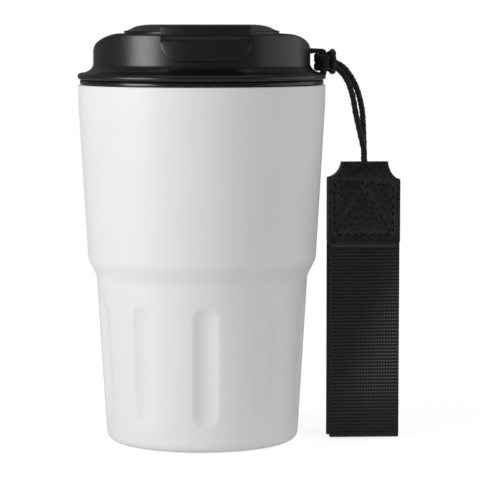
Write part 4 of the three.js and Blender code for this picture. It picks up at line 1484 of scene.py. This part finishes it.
def leather_sides():
    """The leather's four edges as x and z: bottom and top from left to right, left and right upwards."""
    left, right, low, high = 44.9, 71.0, LEATHER_BOTTOM_Z, LEATHER_TOP_Z
    corner = 2.3
    bottom = arc(left + corner, low + corner, corner, corner, 225, 270, 6)
    bottom += arc(right - corner, low + corner, corner, corner, 270, 315, 6)
    left_side = arc(left + corner, low + corner, corner, corner, 225, 180, 6)
    left_side += curve_between((left, 94.4), (49.2, 95.4), (49.9, high), 12)
    right_side = arc(right - corner, low + corner, corner, corner, 315, 360, 6)
    right_side += curve_between((right, 93.7), (67.2, 94.9), (66.6, high), 12)
    return bottom, [left_side[-1], right_side[-1]], left_side, right_side


def along(points, share):
    """The point at a share of an open outline's length."""
    lengths = [math.dist(a, b) for a, b in zip(points, points[1:])]
    want = share * sum(lengths)
    for (a, b), length in zip(zip(points, points[1:]), lengths):
        if want <= length and length > 0:
            t = want / length
            return (a[0] + (b[0] - a[0]) * t, a[1] + (b[1] - a[1]) * t)
        want -= length
    return points[-1]


def crowded(t):
    """Move even shares of a width towards both of its ends."""
    return 0.65 * t + 0.35 * (0.5 - 0.5 * math.cos(math.pi * t))


def stitch_paths():
    """The seams as x and z: a box, and a chevron inside it whose point is tied to the box's top."""
    corners = [
        (STITCH_LEFT, STITCH_TOP_LEFT), (STITCH_LEFT, STITCH_BOTTOM),
        (STITCH_RIGHT, STITCH_BOTTOM), (STITCH_RIGHT, STITCH_TOP_RIGHT),
    ]
    share = (STITCH_APEX[0] - STITCH_LEFT) / (STITCH_RIGHT - STITCH_LEFT)
    over = (STITCH_APEX[0], STITCH_TOP_LEFT + (STITCH_TOP_RIGHT - STITCH_TOP_LEFT) * share)
    return [corners + corners[:1], [corners[1], STITCH_APEX, corners[2]], [STITCH_APEX, over]]


def near_stitches(x, z, paths):
    """Distance from a point to the nearest seam."""
    best = 1e9
    for path in paths:
        for a, b in zip(path, path[1:]):
            dx, dz = b[0] - a[0], b[1] - a[1]
            t = max(0.0, min(1.0, ((x - a[0]) * dx + (z - a[1]) * dz) / (dx * dx + dz * dz)))
            best = min(best, math.hypot(x - a[0] - t * dx, z - a[1] - t * dz))
    return best


def leather_depth(x, z, rim, seam):
    """Half thickness of the folded leather: it thins at its edges and dips under its seams."""
    full = LEATHER_HALF_THICKNESS - 0.45
    crown = smoothstep((LEATHER_TOP_Z - z) / 6.0)
    dip = 1 - smoothstep(seam / SEAM_WIDTH)
    pillow = math.sin(0.5 * math.pi * min(1.0, seam / 3.4))
    edge = 1 - smoothstep(rim / 1.0)
    loop = math.exp(-((x - CORD_MOUTH_X) / 3.0) ** 2) * smoothstep((z - 93.8) / 4)
    loop *= smoothstep((LEATHER_TOP_Z - z) / 0.6)
    return 1.75 + (full - 1.75) * crown + 0.3 * loop + 0.42 * pillow - SEAM_DEPTH * dip - 0.3 * edge


def leather_piece(finish):
    """Two leaves of leather round the webbing's ends, with a mouth for the cord in the fold at the top."""
    paths = stitch_paths()
    bottom, top, left_side, right_side = leather_sides()
    columns, rows = 120, 136
    corners = [left_side[0], right_side[0], left_side[-1], right_side[-1]]
    work = bmesh.new()
    cut_edge = work.verts.layers.float.new("cut_edge")
    # painted shade: a weight that marks the seam grooves, for the material to darken them
    painted_seam_shade = work.verts.layers.float.new("seam")
    skins = {}
    for i in range(rows + 1):
        v = crowded(i / rows)
        left, right = along(left_side, v), along(right_side, v)
        for j in range(columns + 1):
            u = crowded(j / columns)
            below, above = along(bottom, u), along(top, u)
            x, z = (
                (1 - v) * below[k] + v * above[k] + (1 - u) * left[k] + u * right[k]
                - (1 - u) * (1 - v) * corners[0][k] - u * (1 - v) * corners[1][k]
                - (1 - u) * v * corners[2][k] - u * v * corners[3][k]
                for k in (0, 1)
            )
            rim = min(math.dist((x, z), left), math.dist((x, z), right), math.dist((x, z), below))
            seam = near_stitches(x, z, paths)
            outer = leather_depth(x, z, min(rim, LEATHER_TOP_Z - z + 0.35), seam)
            inner = STRAP_HALF_THICKNESS + 0.06
            closed = smoothstep((z - STRAP_TOP_Z - 0.2) / 1.5)
            mouth = smoothstep((2.9 - abs(x - CORD_MOUTH_X)) / 1.2)
            inner = inner * (1 - closed) + closed * max(0.03, min(1.45, outer - 0.5) * mouth)
            worn = 1 - smoothstep(rim / 0.28)
            for leaf in (-1, 1):
                for name, depth in (("outer", outer), ("inner", min(inner, outer - 0.4))):
                    vertex = work.verts.new((x * MM, leaf * depth * MM, z * MM))
                    vertex[cut_edge] = worn
                    # painted shade weight, highest in the seam grooves
                    vertex[painted_seam_shade] = 1 - smoothstep(seam / 0.7)
                    skins[leaf, name, i, j] = vertex
    cell = ((0, 0), (0, 1), (1, 1), (1, 0))
    for leaf in (-1, 1):
        for name in ("outer", "inner"):
            for i in range(rows):
                for j in range(columns):
                    work.faces.new([skins[leaf, name, i + p, j + q] for p, q in cell])
        wall = (("outer", 0), ("inner", 0), ("inner", 1), ("outer", 1))
        for j in (0, columns):
            for i in range(rows):
                work.faces.new([skins[leaf, name, i + p, j] for name, p in wall])
        for i in (0, rows):
            for j in range(columns):
                work.faces.new([skins[leaf, name, i, j + p] for name, p in wall])
    mesh = bpy.data.meshes.new("leather_tab_sewn")
    work.to_mesh(mesh)
    work.free()
    piece = bpy.data.objects.new("leather_tab_sewn", mesh)
    bpy.context.scene.collection.objects.link(piece)
    clean(piece, 50)
    wear(piece, finish)
    return piece


def stitch_tree(lanyard, finish):
    """Lay short rounded stitches along the seams, with a gap between each two."""
    tree = GeometryTree(
        "lay_stitches",
        {"Pitch": lanyard.stitch_pitch, "Length": 2.1 * MM, "Thread": 0.27 * MM},
        finish,
    )
    size = tree.inlet
    curve = tree.add("GeometryNodeMeshToCurve")
    tree.plug(size["Geometry"], curve.inputs["Mesh"])
    spread = tree.add("GeometryNodeCurveToPoints", mode="LENGTH")
    tree.plug(curve.outputs[0], spread.inputs["Curve"])
    tree.plug(size["Pitch"], spread.inputs["Length"])
    ball = tree.add("GeometryNodeMeshUVSphere")
    ball.inputs["Segments"].default_value = 8
    ball.inputs["Rings"].default_value = 7
    ball.inputs["Radius"].default_value = 0.5
    shape = tree.add("GeometryNodeTransform")
    tree.plug(ball.outputs["Mesh"], shape.inputs["Geometry"])
    width = tree.math("MULTIPLY", size["Thread"], 2.0)
    tree.plug(tree.combine(width, tree.math("MULTIPLY", width, 0.8), size["Length"]), shape.inputs["Scale"])
    copies = tree.add("GeometryNodeInstanceOnPoints")
    tree.plug(spread.outputs["Points"], copies.inputs["Points"])
    tree.plug(shape.outputs[0], copies.inputs["Instance"])
    lean = tree.add("FunctionNodeAlignRotationToVector", axis="Z")
    tree.plug(spread.outputs["Tangent"], lean.inputs["Vector"])
    tree.plug(lean.outputs[0], copies.inputs["Rotation"])
    tree.end(copies.outputs[0])
    return tree


def stitched(lanyard, finish):
    """The seams' stitches on both faces of the leather."""
    vertices, edges = [], []
    for leaf in (-1, 1):
        for path in stitch_paths():
            for a, b in zip(path, path[1:]):
                count = max(2, round(math.dist(a, b) / 0.5))
                start = len(vertices)
                for i in range(count + 1):
                    t = (i / count) * 0.96 + 0.02
                    x = a[0] + (b[0] - a[0]) * t
                    z = a[1] + (b[1] - a[1]) * t
                    vertices.append((x * MM, leaf * (leather_depth(x, z, 9.0, 0.0) + 0.12) * MM, z * MM))
                edges += [(start + i, start + i + 1) for i in range(count)]
    mesh = bpy.data.meshes.new("seam_stitches")
    mesh.from_pydata(vertices, edges, [])
    piece = bpy.data.objects.new("seam_stitches", mesh)
    bpy.context.scene.collection.objects.link(piece)
    stitch_tree(lanyard, finish).grow(piece)
    smooth(piece, 80)
    return piece


def webbing_tree(lanyard, finish):
    """Raise woven ribs and warp ends on a flat web, from its map in millimetres."""
    tree = GeometryTree(
        "weave_webbing",
        {"Rib pitch": lanyard.rib_pitch, "Warp pitch": lanyard.warp_pitch, "Relief": 0.32 * MM},
        finish,
    )
    size = tree.inlet
    place = tree.add("GeometryNodeInputNamedAttribute", data_type="FLOAT_VECTOR")
    place.inputs["Name"].default_value = "web_place"
    across, along, outer = tree.split(place.outputs[0])
    rib = tree.math("DIVIDE", along, size["Rib pitch"])
    end = tree.math("DIVIDE", across, size["Warp pitch"])
    shift = tree.math("MULTIPLY", tree.math("FLOORED_MODULO", tree.math("FLOOR", end), 2.0), 0.5)
    rib = tree.math("ADD", rib, tree.math("MULTIPLY", shift, 0.25))
    rib_wave = tree.math("ABSOLUTE", tree.math("SINE", tree.math("MULTIPLY", rib, math.pi)))
    end_wave = tree.math("ABSOLUTE", tree.math("SINE", tree.math("MULTIPLY", end, math.pi)))
    rib_crown = tree.math("POWER", rib_wave, 0.55)
    end_crown = tree.math("POWER", end_wave, 0.45)
    height = tree.math("MULTIPLY", rib_crown, tree.math("ADD", tree.math("MULTIPLY", end_crown, 0.45), 0.55))
    relief = tree.math("MULTIPLY", size["Relief"], outer)
    lift = tree.math("MULTIPLY", tree.math("SUBTRACT", height, 0.9), relief)
    normal = tree.add("GeometryNodeInputNamedAttribute", data_type="FLOAT_VECTOR")
    normal.inputs["Name"].default_value = "web_normal"
    move = tree.add("GeometryNodeSetPosition")
    tree.plug(size["Geometry"], move.inputs["Geometry"])
    tree.plug(tree.vector("SCALE", normal.outputs[0], lift), move.inputs["Offset"])
    tree.end(move.outputs[0])
    return tree


def webbing_piece(lanyard, finish):
    """A flat web folded into a loop: outer and inner faces, rounded selvedges, woven relief."""
    outer = STRAP_HALF_THICKNESS
    turn_z = STRAP_BOTTOM_Z + outer
    run = int((STRAP_TOP_Z - turn_z) / 0.3)
    heights = [STRAP_TOP_Z - (STRAP_TOP_Z - turn_z) * i / run for i in range(run + 1)]
    bend = [math.radians(180 + 180 * i / 16) for i in range(1, 16)]
    lines = [(-1.0, z, (-1.0, 0.0)) for z in heights]
    lines += [(math.cos(a), turn_z, (math.cos(a), math.sin(a))) for a in bend]
    lines += [(1.0, z, (1.0, 0.0)) for z in reversed(heights)]
    half = STRAP_WIDTH / 2 - SELVEDGE_TRIM
    columns = 84
    ring = []
    for i in range(columns + 1):
        ring.append((-half + STRAP_WIDTH * i / columns, 1.0))
    for i in range(1, 6):
        turn = math.radians(90 - 180 * i / 6)
        ring.append((half, 0.5 + 0.5 * math.sin(turn)))
    for i in range(columns // 4 + 1):
        ring.append((half - STRAP_WIDTH * i / (columns // 4), 0.0))
    for i in range(1, 6):
        turn = math.radians(-90 - 180 * i / 6)
        ring.append((-half, 0.5 + 0.5 * math.sin(turn)))
    vertices, places, normals, weave = [], [], [], []
    travelled = 0.0
    last = None
    for side, z, normal in lines:
        centre = (side * outer, z) if normal[1] == 0 else (normal[0] * outer, turn_z + normal[1] * outer)
        if last:
            travelled += math.dist(last, centre)
        last = centre
        for across, level in ring:
            bulge = 0.28 * math.sin(math.pi * level) if abs(abs(across) - half) < 1e-6 else 0.0
            x = STRAP_CENTRE_X + WEB_OFFSET_X + across + math.copysign(bulge, across)
            depth = outer - WEBBING * (1 - level)
            if normal[1] == 0:
                y, height = side * depth, z
            else:
                y, height = normal[0] * depth, turn_z + normal[1] * depth
            vertices.append((x, y, height))
            relief = 1.0 if level > 0.5 else (-0.6 if level < 0.4 else 0.0)
            places.append(((across + half) * MM, travelled * MM, relief))
            normals.append((0.0, normal[0], normal[1]))
            weave.append((across + half, travelled))
    count = len(ring)
    faces = grid_faces(len(lines), count, False, True)
    faces.append(tuple(range(count)))
    faces.append(tuple(reversed(range((len(lines) - 1) * count, len(vertices)))))
    mesh = bpy.data.meshes.new("webbing_loop")
    mesh.from_pydata([[c * MM for c in v] for v in vertices], [], faces)
    piece = bpy.data.objects.new("webbing_loop", mesh)
    bpy.context.scene.collection.objects.link(piece)
    for name, values in (("web_place", places), ("web_normal", normals)):
        layer = mesh.attributes.new(name, "FLOAT_VECTOR", "POINT")
        layer.data.foreach_set("vector", [c for v in values for c in v])
    uv = mesh.uv_layers.new(name="weave")
    for loop in mesh.loops:
        uv.data[loop.index].uv = weave[loop.vertex_index]
    webbing_tree(lanyard, finish).grow(piece)
    for name in ("web_place", "web_normal"):
        layer = piece.data.attributes.get(name)
        if layer:
            piece.data.attributes.remove(layer)
    work = bmesh.new()
    work.from_mesh(piece.data)
    bmesh.ops.recalc_face_normals(work, faces=work.faces)
    work.to_mesh(piece.data)
    work.free()
    smooth(piece, 60)
    return piece


class MUG_OT_strap(bpy.types.Operator):
    """Build the folded webbing loop, the leather tab sewn over its ends and the stitches"""

    bl_idname = "mug.strap"
    bl_label = "Strap"

    def execute(self, context):
        lanyard = context.scene.mug_lanyard
        cloth = woven_webbing(lanyard.webbing, lanyard.rib_pitch / MM, lanyard.warp_pitch / MM)
        web = webbing_piece(lanyard, cloth)
        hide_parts("strap_webbing")
        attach(web, "strap")
        hide = leather_piece(grained_leather(lanyard.leather))
        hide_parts("leather_tab")
        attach(hide, "strap")
        thread = stitched(lanyard, stitching_thread((0.03, 0.03, 0.031)))
        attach(thread, "strap")
        return {"FINISHED"}


# ---------------------------------------------------------------- stage

FLOOR_RADIUS = 420.0
FLOOR_GLOW_ON_MUG = 0.3
WORLD_ON_MUG = 0.15
CAMERA_PLACE = (-0.0293, -0.85, 0.1498)
CAMERA_AIM = (0.0136, 0.0, 0.072)
CAMERA_LENS = 178.7
LIGHT_DISTANCE = 0.75
WASH_DISTANCE = 1.3


def floor_finish(colour, glow):
    """A pale matte floor that glows, less on the mug than to the camera, and fades into the backdrop."""
    floor = Finish("studio_floor", colour, 0.7, specular=0.1)
    x, y, _ = floor.split(floor.place)
    radius = floor.vector("LENGTH", floor.combine(x, y))
    far = floor.add("ShaderNodeMapRange", interpolation_type="SMOOTHSTEP")
    floor.plug(radius, far.inputs[0])
    far.inputs[1].default_value = 0.1
    far.inputs[2].default_value = 0.38
    floor.tint(far.outputs[0], colour, (0.0, 0.0, 0.0))
    seen = floor.add("ShaderNodeLightPath").outputs["Is Camera Ray"]
    backdrop = floor.math("ADD", floor.math("MULTIPLY", far.outputs[0], 1.0 - glow), glow)
    seen = floor.math("ADD", floor.math("MULTIPLY", seen, 1.0 - FLOOR_GLOW_ON_MUG), FLOOR_GLOW_ON_MUG)
    floor.set("Emission Color", (1.0, 1.0, 1.0, 1.0))
    floor.set("Emission Strength", floor.math("MULTIPLY", backdrop, seen))
    return floor.material


def area_light(name, size, place, aim, strength, shade=1.0):
    light = bpy.data.lights.new(name, "AREA")
    light.shape = "RECTANGLE"
    light.size, light.size_y = size
    light.energy = strength
    light.color = (shade, shade, shade)
    lamp = bpy.data.objects.new(name, light)
    bpy.context.scene.collection.objects.link(lamp)
    lamp.location = place
    lamp.rotation_euler = (Vector(aim) - Vector(place)).to_track_quat("-Z", "Y").to_euler()
    return lamp


def softbox(name, azimuth, distance, size, height, strength):
    """A light panel round the mug, its azimuth in degrees from the front towards the lug's side."""
    turn = math.radians(azimuth)
    place = (math.sin(turn) * distance, -math.cos(turn) * distance, height)
    return area_light(name, size, place, (0.0, 0.0, 0.1), strength)


class MUG_OT_stage(bpy.types.Operator):
    """Set the floor, the backdrop light, the soft boxes and the camera"""

    bl_idname = "mug.stage"
    bl_label = "Stage"

    def execute(self, context):
        scene = context.scene
        stage = scene.mug_stage
        scene.view_settings.view_transform = "Standard"
        scene.view_settings.look = "None"

        slab = [(0.0, -0.1), (FLOOR_RADIUS, -0.1), (FLOOR_RADIUS, -1.0), (0.0, -1.0)]
        floor = turned("studio_floor", slab, 96)
        wear(floor, floor_finish(stage.floor, stage.floor_glow))

        world = bpy.data.worlds.new("studio_world")
        scene.world = world
        world.use_nodes = True
        bench = NodeBench(world.node_tree)
        plain = world.node_tree.nodes["Background"]
        plain.inputs["Color"].default_value = (1.0, 1.0, 1.0, 1.0)
        plain.inputs["Strength"].default_value = WORLD_ON_MUG
        seen = bench.add("ShaderNodeBackground")
        seen.inputs["Color"].default_value = (1.0, 1.0, 1.0, 1.0)
        seen.inputs["Strength"].default_value = 1.0
        choose = bench.add("ShaderNodeMixShader")
        bench.plug(bench.add("ShaderNodeLightPath").outputs["Is Camera Ray"], choose.inputs[0])
        bench.plug(plain.outputs[0], choose.inputs[1])
        bench.plug(seen.outputs[0], choose.inputs[2])
        bench.plug(choose.outputs[0], world.node_tree.nodes["World Output"].inputs["Surface"])

        softbox("key_softbox", -63.0, LIGHT_DISTANCE, (0.39, 0.5), 0.1, stage.key_strength)
        softbox("fill_panel", 93.0, LIGHT_DISTANCE, (0.95, 0.6), 0.12, stage.fill_strength)
        for name, azimuth, share in (("left_wash", -42.0, 0.56), ("right_wash", 43.0, 1.08)):
            wash = softbox(name, azimuth, WASH_DISTANCE, (1.2, 0.8), 0.45, stage.wash_strength * share)
            wash.visible_glossy = False
        area_light("top_panel", (0.8, 0.8), (0.0, 0.1, 0.95), (0.0, 0.0, 0.1), stage.top_strength)

        camera = bpy.data.cameras.new("studio_camera")
        camera.sensor_width = 36.0
        camera.lens = CAMERA_LENS
        camera.clip_end = 30
        holder = bpy.data.objects.new("studio_camera", camera)
        scene.collection.objects.link(holder)
        holder.location = CAMERA_PLACE
        gaze = Vector(CAMERA_AIM) - holder.location
        turn = gaze.to_track_quat("-Z", "Y")
        holder.rotation_euler = turn.to_euler()
        scene.camera = holder
        return {"FINISHED"}


# ---------------------------------------------------------------- panel and start

class MUG_PT_panel(bpy.types.Panel):
    """Lists the steps that build the mug, in order"""

    bl_idname = "MUG_PT_panel"
    bl_label = "Travel Mug"
    bl_space_type = "VIEW_3D"
    bl_region_type = "UI"
    bl_category = "Travel Mug"

    def draw(self, context):
        layout = self.layout
        for group, operators in (
            ("mug_cup", ("mug.cup",)),
            ("mug_lid", ("mug.lid", "mug.cover")),
            ("mug_lanyard", ("mug.cord", "mug.strap")),
            ("mug_stage", ("mug.stage",)),
        ):
            settings = getattr(context.scene, group)
            box = layout.box()
            for key in settings.__annotations__:
                box.prop(settings, key)
            for operator in operators:
                box.operator(operator)


SETTINGS = {
    "mug_cup": CupSettings,
    "mug_lid": LidSettings,
    "mug_lanyard": LanyardSettings,
    "mug_stage": StageSettings,
}
OPERATORS = (MUG_OT_stage, MUG_OT_cup, MUG_OT_lid, MUG_OT_cover, MUG_OT_cord, MUG_OT_strap)


def register():
    for name, group in SETTINGS.items():
        bpy.utils.register_class(group)
        setattr(bpy.types.Scene, name, PointerProperty(type=group))
    for operator in OPERATORS:
        bpy.utils.register_class(operator)
    bpy.utils.register_class(MUG_PT_panel)


def unregister():
    bpy.utils.unregister_class(MUG_PT_panel)
    for operator in reversed(OPERATORS):
        bpy.utils.unregister_class(operator)
    for name, group in SETTINGS.items():
        delattr(bpy.types.Scene, name)
        bpy.utils.unregister_class(group)


def main():
    register()
    bpy.ops.mug.stage()
    bpy.ops.mug.cup()
    bpy.ops.mug.lid()
    bpy.ops.mug.cover()
    bpy.ops.mug.cord()
    bpy.ops.mug.strap()


if __name__ == "__main__":
    main()
